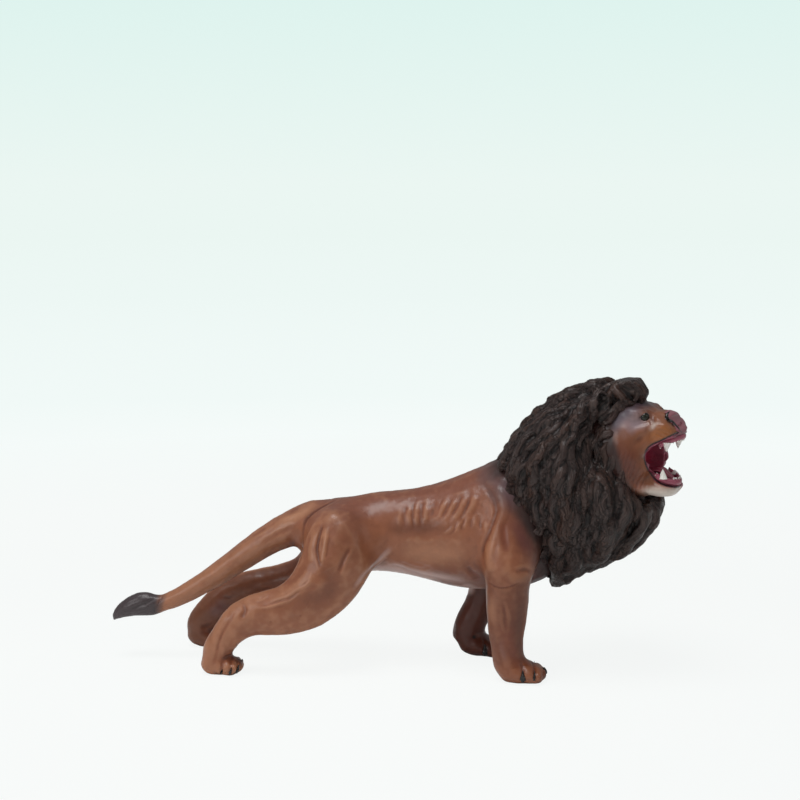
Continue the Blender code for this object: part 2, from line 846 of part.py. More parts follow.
def make_castings(skin, parts, guides):
    """Parts the skin into the body, four legs, the tail and its tuft."""
    body = copy_of(skin, "torso", parts)
    side = trunk_width + hindleg_width
    hip_y = pelvis_width / 2
    chest_y = chest_seam_width / 2
    hip = hip_outline()
    right_hind = part_off(body, "right_hind_leg", hip, -side, -hip_y, parts, guides)
    left_hind = part_off(body, "left_hind_leg", hip, hip_y, side, parts, guides)
    right_x = trunk_place(right_fore_shares[5][0])
    left_x = trunk_place(left_fore_shares[4][0])
    reach = foreleg_depth * foreleg_room_share
    right_heel = trunk_place(right_fore_shares[-1][0]) - front_paw_length
    left_heel = trunk_place(left_fore_shares[-1][0]) - front_paw_length
    shoulder = shoulder_outline(right_x, right_x - reach, right_x + reach, right_heel)
    right_fore = part_off(body, "right_foreleg", shoulder, -side, -chest_y, parts, guides)
    shoulder = shoulder_outline(left_x, left_x - reach, left_x + reach, left_heel)
    left_fore = part_off(body, "left_foreleg", shoulder, chest_y, side, parts, guides)
    tail = part_off(body, "tail", tail_outline(), -side, side, parts, guides)
    tuft = part_off(tail, "tail_tuft", tuft_outline(), -side, side, parts, guides)

    none = Matrix()
    cross = leg_peg_length + peg_root
    middle_y = hip_y - leg_peg_length / 2 + peg_root / 2
    hip_z = hip_seam_height + leg_peg_side
    hip_sizes = (leg_peg_side, cross, leg_peg_side)
    join_by_peg(right_hind, body, "right_hind", Vector((hip_x, -middle_y, hip_z)), hip_sizes, none, guides)
    join_by_peg(left_hind, body, "left_hind", Vector((hip_x, middle_y, hip_z)), hip_sizes, none, guides)
    shoulder_z = shoulder_seam_height + leg_peg_length / 2 - peg_root / 2
    fore_sizes = (leg_peg_side, leg_peg_side, cross)
    right_y = right_fore_y * right_fore_shares[4][2] + fore_peg_inset
    left_y = left_fore_y * left_fore_shares[3][2] - fore_peg_inset
    join_by_peg(right_fore, body, "right_fore", Vector((right_x, right_y, shoulder_z)), fore_sizes, none, guides)
    join_by_peg(left_fore, body, "left_fore", Vector((left_x, left_y, shoulder_z)), fore_sizes, none, guides)
    tail_sizes = (leg_peg_length + 2 * peg_root, leg_peg_side, leg_peg_side)
    tail_x = hip_x - tail_length * tail_seam_shares[0][0] + leg_peg_length / 2 - peg_root
    tail_z = tail_root_height + tail_thickness * tail_seam_shares[0][1]
    join_by_peg(tail, body, "tail", Vector((tail_x, 0.0, tail_z)), tail_sizes, none, guides)
    tuft_sizes = (tuft_peg_length + 2 * tuft_peg_side, tuft_peg_side, tuft_peg_side)
    tuft_x = tuft_seam() + tuft_peg_length / 2 - tuft_peg_side
    tuft_z = tail_root_height - tail_fall * tuft_shares[0][1]
    join_by_peg(tuft, tail, "tuft", Vector((tuft_x, 0.0, tuft_z)), tuft_sizes, none, guides)
    return body, [right_hind, left_hind, right_fore, left_fore, tail, tuft]


# Head
def add_head_rings(form, rows):
    """Rings square to the head's axis. Each row gives a place, top, bottom and half width."""
    turn = head_frame().to_3x3()
    rings = []
    for along, top, bottom, half in smooth_rows(rows, path_steps):
        centre = head_point(along, 0.0, (top + bottom) / 2)
        up = Vector((0.0, 0.0, (top - bottom) / 2 * head_height))
        across = turn @ Vector((0.0, half * head_width, 0.0))
        rings.append(ring_points(centre, across, up, limb_sides))
    add_loft(form, rings)


def head_prism(name, shares, half_width, grow, guides):
    """A cutter with an outline given in the head's side view."""
    outline = [(along * head_length, chin_height + height * head_height) for along, height in shares]
    if sum(a[0] * b[1] - b[0] * a[1] for a, b in zip(outline, outline[1:] + outline[:1])) < 0:
        outline.reverse()
    outline = offset_outline(outline, grow)
    cutter = add_prism(name, outline, -half_width - grow, half_width + grow, guides)
    cutter.matrix_world = head_frame()
    bpy.context.view_layer.update()
    return cutter


def throat_form(name, grow, front, guides):
    """The throat's pocket, grown all round and lengthened at the front."""
    form = bmesh.new()
    turn = head_frame().to_3x3()
    rings = []
    for along, middle, half_height, half in smooth_rows(throat_shares, mouth_steps):
        centre = head_point(along, 0.0, middle) - turn @ Vector((grow, 0.0, 0.0))
        up = Vector((0.0, 0.0, half_height * head_height + grow))
        across = turn @ Vector((0.0, half * throat_width + grow, 0.0))
        rings.append(ring_points(centre, across, up, mouth_sides))
    ahead = turn @ Vector((grow + front, 0.0, 0.0))
    rings.append([point + ahead for point in rings[-1]])
    add_loft(form, rings)
    return as_cutter(add_form(name, form, guides))


def make_head(parts, guides):
    form = bmesh.new()
    add_head_rings(form, skull_shares)
    jaw = [(along, middle + half, middle - half, wide) for along, middle, half, wide in jaw_shares]
    add_head_rings(form, jaw)
    turn = head_frame().to_3x3().to_4x4()
    for along, side, height, long_half, wide_half, high_half in mound_shares:
        half_sizes = (long_half * head_length, wide_half * head_length, high_half * head_length)
        add_ball(form, head_point(along, side, height), half_sizes, turn)
        add_ball(form, head_point(along, -side, height), half_sizes, turn)
    head = add_form("head", form, parts)
    sculpted(head, head_voxel, head_soften_count, head_faces)
    bed = grown(head, "head_bed", bed_gap, guides)
    boolean(head, head_prism("mouth_cut", mouth_shares, head_width, 0.0, guides), "DIFFERENCE")
    largest_body(head)
    return head, bed


def make_nose(head, parts, guides):
    nose = parted(head, head_prism("nose_cut", nose_shares, nose_width / 2, 0.0, guides), "nose", parts)
    boolean(head, head_prism("nose_bed", nose_shares, nose_width / 2, seam_gap, guides), "DIFFERENCE")
    largest_body(head)
    return largest_body(nose)


def make_mouth(head, parts, guides):
    """The pink lining of the throat, seated in a pocket behind the lips."""
    pocket = throat_form("throat_pocket", lining_wall + seam_gap, seam_gap, guides)
    outer = throat_form("mouth_lining", lining_wall, 0.0, parts)
    outer.hide_render = False
    outer.display_type = "TEXTURED"
    inner = throat_form("throat_hollow", 0.0, overrun, guides)
    mouth = head_prism("mouth_front", mouth_shares, head_width, 0.0, guides)
    boolean(head, pocket, "DIFFERENCE")
    largest_body(head)
    boolean(outer, inner, "DIFFERENCE")
    boolean(outer, mouth, "DIFFERENCE")
    return largest_body(outer)


def add_bead(name, centre, radius, collection):
    form = bmesh.new()
    place = Matrix.Translation(centre)
    bmesh.ops.create_uvsphere(
        form, u_segments=bead_sides, v_segments=bead_rings, radius=radius, matrix=place
    )
    return add_form(name, form, collection)


def make_eyes(head, parts, guides):
    """Each eye is a bead seated in a socket in the skin below the brow."""
    eyes = []
    tree = BVHTree.FromObject(head, bpy.context.evaluated_depsgraph_get())
    turn = head_frame().to_3x3()
    for name, way in (("right_eye", -1.0), ("left_eye", 1.0)):
        outside = head_point(eye_shares[0], way, eye_shares[1])
        inward = turn @ Vector((0.0, -way, 0.0))
        surface, normal, _, _ = tree.ray_cast(outside, inward)
        centre = surface + normal * (eye_bulge - eye_radius)
        eyes.append(add_bead(name, centre, eye_radius, parts))
        socket = add_bead(name + "_socket", centre, eye_radius + seam_gap, guides)
        boolean(head, as_cutter(socket), "DIFFERENCE")
    return eyes


# Mane
def mane_ring(height, back, front, half, turn_share):
    middle = mane_back_x + (back + front) / 2 * mane_length
    turn = Matrix.Rotation(-head_turn * turn_share, 3, "Z")
    centre = Vector((middle, 0.0, mane_foot_height + height * mane_height))
    along = turn @ Vector(((front - back) / 2 * mane_length, 0.0, 0.0))
    across = turn @ Vector((0.0, half * mane_width, 0.0))
    return ring_points(centre, along, across, trunk_sides)


def add_lock(form, tree, start, normal, swing):
    """A tapered, waving lock that lies on the mane's core and runs down and back from its root."""
    steps = len(lock_shares)
    stride = lock_length / (steps - 1)
    point = start
    stations = []
    for step in range(steps):
        fall = Vector((sweep_share, 0.0, -1.0))
        fall = (fall - normal * fall.dot(normal)).normalized()
        side = normal.cross(fall)
        wave = math.sin(2 * math.pi * step / steps + swing) * lock_wave / lock_length
        along = (fall + side * (swing * lean_share + wave_share * wave)).normalized()
        stations.append((point, normal, along))
        point, normal, _, _ = tree.find_nearest(point + along * stride)
    rings = []
    for (point, normal, along), (half_width, half_height, lift) in zip(stations, lock_shares):
        side = normal.cross(along).normalized()
        centre = point + normal * lift * lock_height
        rings.append(
            ring_points(centre, side * half_width * lock_width, normal * half_height * lock_height, lock_sides)
        )
    add_loft(form, rings)


def make_mane(beds, parts, guides):
    """A core with rings of locks on it and two ears, melted together and fitted over the neck and cheeks."""
    core = bmesh.new()
    rings = [mane_ring(*row) for row in smooth_rows(mane_shares, path_steps)]
    add_loft(core, rings)
    bmesh.ops.recalc_face_normals(core, faces=core.faces[:])
    tree = BVHTree.FromBMesh(core)
    dice = random.Random(hair_seed_count)
    locks = bmesh.new()
    table = smooth_rows(mane_shares, path_steps)
    for number, (share, count) in enumerate(lock_rings):
        row = min(table, key=lambda candidate: abs(candidate[0] - share))
        centre = sum(mane_ring(*row), Vector()) / trunk_sides
        for place in range(count):
            angle = 2 * math.pi * (place + number % 2 / 2 + dice.uniform(-stray_share, stray_share)) / count
            from_face = math.remainder(angle + head_turn, 2 * math.pi)
            covered = face_window_share[0] < share < face_window_share[1]
            if covered and abs(from_face) < face_window_angle:
                continue
            outward = Vector((math.cos(angle), math.sin(angle), root_rise_share))
            start, normal, _, _ = tree.ray_cast(centre, outward)
            add_lock(locks, tree, start, normal, dice.uniform(-1.0, 1.0))
    turn = head_frame().to_3x3().to_4x4()
    ear_half_sizes = (ear_thickness / 2, ear_width / 2, ear_height / 2)
    for way in (-1.0, 1.0):
        centre = head_point(ear_shares[0], way * ear_shares[1], ear_shares[2])
        add_ball(locks, centre, ear_half_sizes, turn)
    mesh = bpy.data.meshes.new("lock_forms")
    locks.to_mesh(mesh)
    locks.free()
    core.from_mesh(mesh)
    mane = add_form("mane", core, parts)
    sculpted(mane, mane_voxel, mane_soften_count, mane_faces)
    for way in (-1.0, 1.0):
        forward = turn @ Vector((ear_thickness * ear_hollow_shares[0], 0.0, 0.0))
        centre = head_point(ear_shares[0], way * ear_shares[1], ear_shares[2]) + forward
        hollow = bmesh.new()
        half_sizes = (ear_hollow, ear_width * ear_hollow_shares[1], ear_height * ear_hollow_shares[2])
        add_ball(hollow, centre, half_sizes, turn)
        boolean(mane, as_cutter(add_form("ear_hollow", hollow, guides)), "DIFFERENCE")
    # A grown skin may cross itself in its tightest creases, which only this solver cuts cleanly.
    for bed in beds:
        boolean(mane, bed, "DIFFERENCE", "MANIFOLD")
    return largest_body(mane)


def seat_head(head, body, guides):
    """Cuts the neck square behind the head and pegs the two together."""
    turn = head_frame().to_3x3().to_4x4()
    reach = head_length + mane_length
    ahead = head_frame() @ Vector((reach / 2 - seam_gap, 0.0, chin_height + head_height / 2))
    room = add_bar("neck_seam", ahead, (reach, reach, reach), turn, guides)
    boolean(body, room, "DIFFERENCE")
    largest_body(body)
    long_side = head_peg_length + peg_root
    local = Vector(((peg_root - head_peg_length) / 2, 0.0, chin_height + head_height / 2))
    sizes = (long_side, head_peg_side, head_peg_side)
    join_by_peg(head, body, "head", head_frame() @ local, sizes, turn, guides)


# Teeth and tongue
def lip_height(along, upper):
    """Height share of the upper or lower lip line at a place along the head."""
    corner = min(range(len(mouth_shares)), key=lambda place: mouth_shares[place][0])
    rows = mouth_shares[:corner][::-1] if upper else mouth_shares[corner:]
    return float(np.interp(along, [row[0] for row in rows], [row[1] for row in rows]))


def gum_arch(upper, rise):
    """Points along a horseshoe of teeth, from one back end round the front to the other."""
    points = []
    for step in range(arc_steps + 1):
        angle = math.pi * (step / arc_steps - 0.5)
        along = gum_front_share - gum_back_share * (1.0 - math.cos(angle))
        height = chin_height + lip_height(along, upper) * head_height + rise
        local = Vector((along * head_length, gum_width / 2 * math.sin(angle), height))
        points.append(head_frame() @ local)
    return points


def make_teeth(name, upper, parts, guides):
    """A gum strip along the lip with two canines and a row of incisors between them."""
    way = -1.0 if upper else 1.0
    arch = gum_arch(upper, way * (gum_thickness / 2 + seam_gap))
    last = len(arch) - 1
    rings = []
    for place, centre in enumerate(arch):
        along = (arch[min(place + 1, last)] - arch[max(place - 1, 0)]).normalized()
        up = Vector((0.0, 0.0, gum_thickness / 2))
        across = along.cross(Vector((0.0, 0.0, 1.0))) * gum_thickness / 2
        rings.append(ring_points(centre, across, up, tooth_sides))
    form = bmesh.new()
    add_loft(form, rings)
    teeth = add_form(name, form, parts)
    rows = [(place, canine_root, canine_height) for place in canine_places]
    rows += [(place, incisor_root, incisor_height) for place in incisor_places]
    for place, root, height in rows:
        form = bmesh.new()
        centre = arch[place] + Vector((0.0, 0.0, way * height / 2))
        turn = Matrix.Rotation(math.pi if upper else 0.0, 4, "X")
        shape = Matrix.Translation(centre) @ turn
        bmesh.ops.create_cone(
            form, cap_ends=True, segments=tooth_sides, radius1=root, radius2=root * tooth_tip_share, depth=height, matrix=shape
        )
        boolean(teeth, as_cutter(add_form(name + "_tooth", form, guides)), "UNION")
    return largest_body(teeth)


def make_tongue(parts):
    """A flat tongue with rounded edges, laid along the floor of the throat and over the jaw."""
    turn = head_frame().to_3x3()
    rings = []
    for share, height, half, thick in smooth_rows(tongue_shares, mouth_steps):
        along = tongue_back_share + share * tongue_length / head_length
        centre = head_point(along, 0.0, height)
        across = turn @ Vector((0.0, half * tongue_width, 0.0))
        up = Vector((0.0, 0.0, thick * tongue_thickness))
        rings.append(ring_points(centre, across, up, mouth_sides))
    form = bmesh.new()
    add_loft(form, rings)
    return add_form("tongue", form, parts)


def centre_figure(parts):
    """Moves every piece alike, so that the origin lies under the middle of the whole figure."""
    low = Vector((math.inf, math.inf, math.inf))
    high = -low
    for piece in parts.objects:
        for vertex in piece.data.vertices:
            place = piece.matrix_world @ vertex.co
            low = Vector(map(min, low, place))
            high = Vector(map(max, high, place))
    shift = Vector(((low.x + high.x) / 2, (low.y + high.y) / 2, 0.0))
    for piece in parts.objects:
        piece.data.transform(Matrix.Translation(-shift))
    print("middle of the box before centring:", [round(value, 5) for value in shift])
    print("size of the box:", [round(value, 5) for value in high - low])


def main():
    clear_scene()
    parts = new_collection("wild_animal_figure")
    guides = new_collection("guides")
    guides.hide_render = True
    fur = vinyl("fur_vinyl", (0.30, 0.135, 0.075), 0.42)
    dark = vinyl("mane_vinyl", (0.035, 0.027, 0.023), 0.48)
    face = vinyl("face_vinyl", (0.33, 0.15, 0.07), 0.42)
    pink = vinyl("mouth_paint", (0.22, 0.045, 0.075), 0.35)
    white = vinyl("tooth_paint", (0.85, 0.84, 0.80), 0.30)
    mauve = vinyl("nose_paint", (0.30, 0.11, 0.12), 0.38)
    black = vinyl("black_paint", (0.02, 0.022, 0.012), 0.20)

    skin = make_skin(guides)
    body, castings = make_castings(skin, parts, guides)
    head, head_bed = make_head(parts, guides)
    seat_head(head, body, guides)
    mane = make_mane([grown(skin, "body_bed", bed_gap, guides), head_bed], parts, guides)
    nose = make_nose(head, parts, guides)
    lining = make_mouth(head, parts, guides)
    eyes = make_eyes(head, parts, guides)
    upper = make_teeth("upper_teeth", True, parts, guides)
    lower = make_teeth("lower_teeth", False, parts, guides)
    tongue = make_tongue(parts)

    for piece in (body, *castings):
        finish_piece(piece, dark if piece.name == "tail_tuft" else fur)
    finish_piece(head, face)
    finish_piece(mane, dark)
    finish_piece(nose, mauve)
    for piece in (lining, tongue):
        finish_piece(piece, pink)
    for piece in (upper, lower):
        finish_piece(piece, white)
    for piece in eyes:
        finish_piece(piece, black)
    centre_figure(parts)


main()
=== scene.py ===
# %% [markdown]
# # A roaring lion in soft vinyl
# The toy is a hollow figure about 26 cm long. It is cast in soft vinyl in a few pieces, glued together, and
# then painted by hand and with an airbrush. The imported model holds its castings, at their real size. This
# lesson dresses them: it sculpts the muscles and the hair finely, and lays the paint on as the factory does.

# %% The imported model
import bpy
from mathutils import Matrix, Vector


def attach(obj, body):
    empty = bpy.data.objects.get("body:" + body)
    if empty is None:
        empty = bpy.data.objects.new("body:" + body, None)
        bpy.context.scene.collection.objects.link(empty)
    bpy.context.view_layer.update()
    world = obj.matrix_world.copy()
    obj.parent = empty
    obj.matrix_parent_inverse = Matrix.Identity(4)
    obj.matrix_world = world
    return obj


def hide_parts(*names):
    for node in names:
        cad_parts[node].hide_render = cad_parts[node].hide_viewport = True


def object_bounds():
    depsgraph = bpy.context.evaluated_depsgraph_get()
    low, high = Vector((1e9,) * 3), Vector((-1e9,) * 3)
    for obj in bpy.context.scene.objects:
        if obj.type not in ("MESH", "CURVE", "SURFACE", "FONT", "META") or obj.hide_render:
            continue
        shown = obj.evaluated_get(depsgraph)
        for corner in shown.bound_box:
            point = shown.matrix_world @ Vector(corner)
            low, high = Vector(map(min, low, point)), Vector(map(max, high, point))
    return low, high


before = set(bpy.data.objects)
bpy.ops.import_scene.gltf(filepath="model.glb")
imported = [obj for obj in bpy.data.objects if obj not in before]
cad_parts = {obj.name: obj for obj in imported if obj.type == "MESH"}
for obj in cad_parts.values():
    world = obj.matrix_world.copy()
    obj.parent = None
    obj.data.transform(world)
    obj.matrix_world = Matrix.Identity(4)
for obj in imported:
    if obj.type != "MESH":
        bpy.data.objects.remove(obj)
cad_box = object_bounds()
print("box of the packed model:", cad_box)

# %% Modules and units
import itertools
import math
import random

import bmesh
import bpy
import numpy as np
from mathutils import Matrix, Vector, noise
from mathutils.bvhtree import BVHTree
from mathutils.kdtree import KDTree

mm = 0.001

# %% [markdown]
# ## The camera
# The photograph was taken from the lion's right side, a little from the front and from above. The camera is
# placed by the point it aims at, and by where that point lies in the photograph, which is 800 pixels wide.
# A small tilt puts that point below the middle, so no lens shift is needed.

# %% Camera
photo_width = 800
aim = Vector((3.3 * mm, -0.1 * mm, 60.7 * mm))
aim_row = 531
view_distance = 0.75
view_turn = math.radians(4.0)
view_rise = math.radians(12.0)
view_span = 0.362
sensor_width = 36.0

focal_pixels = photo_width / view_span * view_distance
tilt = math.atan((aim_row - photo_width / 2) / focal_pixels)
away = Vector((
    math.sin(view_turn) * math.cos(view_rise),
    -math.cos(view_turn) * math.cos(view_rise),
    math.sin(view_rise),
))
camera_data = bpy.data.cameras.new("camera")
camera_data.sensor_width = sensor_width
camera_data.lens = sensor_width * focal_pixels / photo_width
camera = bpy.data.objects.new("camera", camera_data)
camera.location = aim + away * view_distance
camera.rotation_euler = (math.pi / 2 - view_rise + tilt, 0.0, view_turn)
bpy.context.scene.collection.objects.link(camera)
bpy.context.scene.camera = camera
bpy.context.scene.view_settings.view_transform = "Standard"
bpy.context.view_layer.update()
eye_point = camera.matrix_world.translation.copy()
print("lens", round(camera_data.lens, 2), "mm, camera at", [round(value, 4) for value in eye_point])


def sight_line(column, row):
    """The direction in which the camera sees a pixel of the photograph."""
    middle = photo_width / 2
    local = Vector(((column - middle) / focal_pixels, (middle - row) / focal_pixels, -1.0))
    return (camera.matrix_world.to_3x3() @ local).normalized()


# %% [markdown]
# ## Materials from nodes
# All finishes here are built from shader nodes. A small helper adds a node, sets its inputs and links them,
# so that each material reads as a short list. Colours are written as they look on a screen, from 0 to 255,
# and turned into the linear values that the shader works with.

# %% Colour and node helpers
def tone(red, green, blue):
    """A screen colour as linear red, green and blue."""
    values = []
    for value in (red, green, blue):
        share = value / 255
        values.append(share / 12.92 if share <= 0.04045 else ((share + 0.055) / 1.055) ** 2.4)
    return tuple(values)


def add_node(tree, kind, settings=None, **inputs):
    node = tree.nodes.new("ShaderNode" + kind)
    for key, value in (settings or {}).items():
        setattr(node, key, value)
    for key, value in inputs.items():
        socket = node.inputs[key.replace("_", " ")]
        if isinstance(value, bpy.types.NodeSocket):
            tree.links.new(value, socket)
        else:
            socket.default_value = value
    return node


def new_material(name):
    material = bpy.data.materials.new(name)
    material.use_nodes = True
    tree = material.node_tree
    return material, tree, tree.nodes["Principled BSDF"]


# %% [markdown]
# ## Floor, backdrop and light
# The toy was cut out on a pale mint ground that fades to white below. A wide disc under the lion takes its
# soft shadow, and the world carries the tint on behind it. Near the lion nine tenths of what the camera sees
# of the floor glow in its own colour, and further out all of it, so the shadow stays as faint as in the
# photograph. Three large soft lamps stand for the studio's light boxes.

# %% Floor
floor_radius = 60.0
floor_sides = 96
floor_stops = [
    (0.0, (252, 254, 253)), (0.4, (249, 252, 251)), (0.96, (241, 249, 247)), (2.5, (237, 247, 244)),
    (6.0, (235, 246, 242)),
]
near_glow_share = 0.90
glow_start, glow_end = 0.25, 0.70

floor_form = bmesh.new()
bmesh.ops.create_circle(floor_form, cap_ends=True, segments=floor_sides, radius=floor_radius)
floor_mesh = bpy.data.meshes.new("floor")
floor_form.to_mesh(floor_mesh)
floor_form.free()
floor = bpy.data.objects.new("floor", floor_mesh)
bpy.context.scene.collection.objects.link(floor)

floor_finish, tree, shader = new_material("floor_paper")
place = add_node(tree, "TexCoord")
distance = add_node(tree, "VectorMath", {"operation": "LENGTH"}, Vector=place.outputs["Object"])
reach = add_node(tree, "MapRange", Value=distance.outputs["Value"], From_Max=floor_stops[-1][0])
ramp = add_node(tree, "ValToRGB", Fac=reach.outputs["Result"])
stops = ramp.color_ramp.elements
for number, (radius, colour) in enumerate(floor_stops):
    stop = stops[number] if number < 2 else stops.new(1.0)
    stop.position = radius / floor_stops[-1][0]
    stop.color = (*tone(*colour), 1.0)
tree.links.new(ramp.outputs["Color"], shader.inputs["Base Color"])
shader.inputs["Roughness"].default_value = 1.0
shader.inputs["Specular IOR Level"].default_value = 0.0
glow = add_node(tree, "Emission", Color=ramp.outputs["Color"])
glow_share = add_node(tree, "MapRange", Value=distance.outputs["Value"])
glow_share.inputs["From Min"].default_value = glow_start
glow_share.inputs["From Max"].default_value = glow_end
glow_share.inputs["To Min"].default_value = near_glow_share
sight = add_node(tree, "LightPath")
share = add_node(tree, "Math", {"operation": "MULTIPLY"}, Value=sight.outputs["Is Camera Ray"])
tree.links.new(glow_share.outputs["Result"], share.inputs[1])
blend = add_node(tree, "MixShader", Fac=share.outputs["Value"])
tree.links.new(shader.outputs["BSDF"], blend.inputs[1])
tree.links.new(glow.outputs["Emission"], blend.inputs[2])
tree.links.new(blend.outputs["Shader"], tree.nodes["Material Output"].inputs["Surface"])
floor.data.materials.append(floor_finish)

# %% World and lamps
world_strength = 0.24
sky_low_tone = tone(235, 246, 242)
sky_high_tone = tone(222, 243, 238)
sky_high_at = 0.11

world = bpy.data.worlds.new("studio")
bpy.context.scene.world = world
world.use_nodes = True
tree = world.node_tree
ground = tree.nodes["Background"]
ground.inputs["Color"].default_value = (1.0, 1.0, 1.0, 1.0)
ground.inputs["Strength"].default_value = world_strength
place = add_node(tree, "TexCoord")
parts = add_node(tree, "SeparateXYZ", Vector=place.outputs["Generated"])
ramp = add_node(tree, "ValToRGB", Fac=parts.outputs["Z"])
ramp.color_ramp.elements[0].color = (*sky_low_tone, 1.0)
ramp.color_ramp.elements[1].color = (*sky_high_tone, 1.0)
ramp.color_ramp.elements[1].position = sky_high_at
seen = add_node(tree, "Background", Color=ramp.outputs["Color"], Strength=1.0)
sight = add_node(tree, "LightPath")
blend = add_node(tree, "MixShader", Fac=sight.outputs["Is Camera Ray"])
tree.links.new(ground.outputs["Background"], blend.inputs[1])
tree.links.new(seen.outputs["Background"], blend.inputs[2])
tree.links.new(blend.outputs["Shader"], tree.nodes["World Output"].inputs["Surface"])


soft_boxes = [
    ("overhead_box", (-0.20, -0.25, 1.25), 0.60, 6.9),
    ("front_box", (-0.85, -0.90, 0.60), 0.60, 3.0),
    ("side_box", (0.95, -0.45, 0.60), 0.50, 0.5),
]


def add_lamp(name, place, size, power):
    """A square soft box that faces the middle of the toy."""
    data = bpy.data.lights.new(name, "AREA")
    data.size = size
    data.energy = power
    lamp = bpy.data.objects.new(name, data)
    lamp.location = place
    lamp.rotation_euler = (Vector(place) - aim).to_track_quat("Z", "Y").to_euler()
    bpy.context.scene.collection.objects.link(lamp)


for soft_box in soft_boxes:
    add_lamp(*soft_box)

# %% [markdown]
# ## Helpers for modelling
# Every new piece is a mesh whose object sits at the origin. Modifiers are applied as soon as they have done
# their work, and the mesh is then changed further by moving its vertices, as a sculptor's tools do.

# %% Piece helpers
def new_piece(name, form):
    """Turns a bmesh into an object at the origin and frees it."""
    mesh = bpy.data.meshes.new(name)
    form.to_mesh(mesh)
    form.free()
    obj = bpy.data.objects.new(name, mesh)
    bpy.context.scene.collection.objects.link(obj)
    return obj


def apply_modifiers(obj):
    bpy.context.view_layer.update()
    graph = bpy.context.evaluated_depsgraph_get()
    mesh = bpy.data.meshes.new_from_object(obj.evaluated_get(graph))
    obj.modifiers.clear()
    old = obj.data
    obj.data = mesh
    bpy.data.meshes.remove(old)
    return obj


def drop(obj):
    """Removes a helper object and its mesh."""
    mesh = obj.data
    bpy.data.objects.remove(obj)
    bpy.data.meshes.remove(mesh)


def vertex_places(obj):
    places = np.empty(len(obj.data.vertices) * 3)
    obj.data.vertices.foreach_get("co", places)
    return places.reshape(-1, 3)


def vertex_normals(obj):
    normals = np.empty(len(obj.data.vertices) * 3)
    obj.data.vertex_normals.foreach_get("vector", normals)
    return normals.reshape(-1, 3)


def move_vertices(obj, places):
    obj.data.vertices.foreach_set("co", places.ravel())
    obj.data.update()
    return obj


def puff(obj, distance):
    """Moves the whole surface outward, or inward if the distance is negative."""
    return move_vertices(obj, vertex_places(obj) + vertex_normals(obj) * distance)


def tree_of(obj):
    return BVHTree.FromObject(obj, bpy.context.evaluated_depsgraph_get())


def edge_ends(obj):
    ends = np.empty(len(obj.data.edges) * 2, np.int64)
    obj.data.edges.foreach_get("vertices", ends)
    return ends.reshape(-1, 2)


def largest_body(obj):
    """Keeps the largest connected shell of a mesh and drops the bubbles inside it."""
    count = len(obj.data.vertices)
    ends = edge_ends(obj)
    label = np.arange(count)
    while True:
        low = np.minimum(label[ends[:, 0]], label[ends[:, 1]])
        lower = label.copy()
        np.minimum.at(lower, ends[:, 0], low)
        np.minimum.at(lower, ends[:, 1], low)
        lower = lower[lower]
        if (lower == label).all():
            break
        label = lower
    keep = np.bincount(label, minlength=count).argmax()
    form = bmesh.new()
    form.from_mesh(obj.data)
    form.verts.ensure_lookup_table()
    loose = [form.verts[place] for place in np.flatnonzero(label != keep)]
    bmesh.ops.delete(form, geom=loose, context="VERTS")
    form.to_mesh(obj.data)
    form.free()
    return obj


def neighbour_mean(values, ends):
    """The average of each vertex's neighbours."""
    count = len(values)
    hands = np.bincount(ends.ravel(), minlength=count)[:, None]
    total = np.empty_like(values)
    for axis in range(values.shape[1]):
        total[:, axis] = np.bincount(ends[:, 0], values[ends[:, 1], axis], count)
        total[:, axis] += np.bincount(ends[:, 1], values[ends[:, 0], axis], count)
    return total / np.maximum(hands, 1)


def even_out(obj, rounds, inward=0.5, outward=0.53):
    """Smooths facets away. An outward step follows each inward one, so thin parts keep their size."""
    ends = edge_ends(obj)
    places = vertex_places(obj)
    for _ in range(rounds):
        places += (neighbour_mean(places, ends) - places) * inward
        places -= (neighbour_mean(places, ends) - places) * outward
    return move_vertices(obj, places)


def melted(obj, voxel):
    """Melts all the shells of a mesh into one even skin."""
    melt = obj.modifiers.new("melt", "REMESH")
    melt.mode = "VOXEL"
    melt.voxel_size = voxel
    return largest_body(apply_modifiers(obj))


def refined(obj):
    """Halves the spacing of the vertices."""
    finer = obj.modifiers.new("finer", "SUBSURF")
    finer.levels = 1
    finer.render_levels = 1
    return apply_modifiers(obj)


most_triangles = 190_000


def thinned(obj):
    """Joins the flattest faces of a mesh that has more triangles than a kept piece may hold."""
    count = sum(len(face.vertices) - 2 for face in obj.data.polygons)
    if count > most_triangles:
        thinner = obj.modifiers.new("thinner", "DECIMATE")
        thinner.ratio = most_triangles / count
        apply_modifiers(obj)
    return obj


def drawn_out(form, profile, count):
    """Extrudes a flat profile into a closed bar of rings. The caller then puts each ring in its place."""
    rings = [[form.verts.new((across, rise, 0.0)) for across, rise in profile]]
    face = form.faces.new(rings[0])
    for _ in range(count - 1):
        swept = bmesh.ops.extrude_face_region(form, geom=[face])
        rings.append([item for item in swept["geom"] if isinstance(item, bmesh.types.BMVert)])
        face = [item for item in swept["geom"] if isinstance(item, bmesh.types.BMFace)][0]
    return rings


def round_profile(sides):
    """The corners of a circle of radius 1."""
    angles = [2 * math.pi * step / sides for step in range(sides)]
    return [(math.cos(angle), math.sin(angle)) for angle in angles]


weld_gap = 0.001 * mm


def casting_copy(name, *nodes):
    """A merged copy of some packed castings, to sculpt on."""
    form = bmesh.new()
    for node in nodes:
        form.from_mesh(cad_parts[node].data)
    bmesh.ops.remove_doubles(form, verts=form.verts, dist=weld_gap)
    return new_piece(name, form)


# %% [markdown]
# ## The skin
# The factory sculpts the whole animal in one piece and parts it into castings only for the mould, so the
# muscles run on over the seams. It is done the same way here: copies of the castings are puffed up a little
# so that they meet, melted into one skin, and evened out. Once sculpted, the skin is parted again.

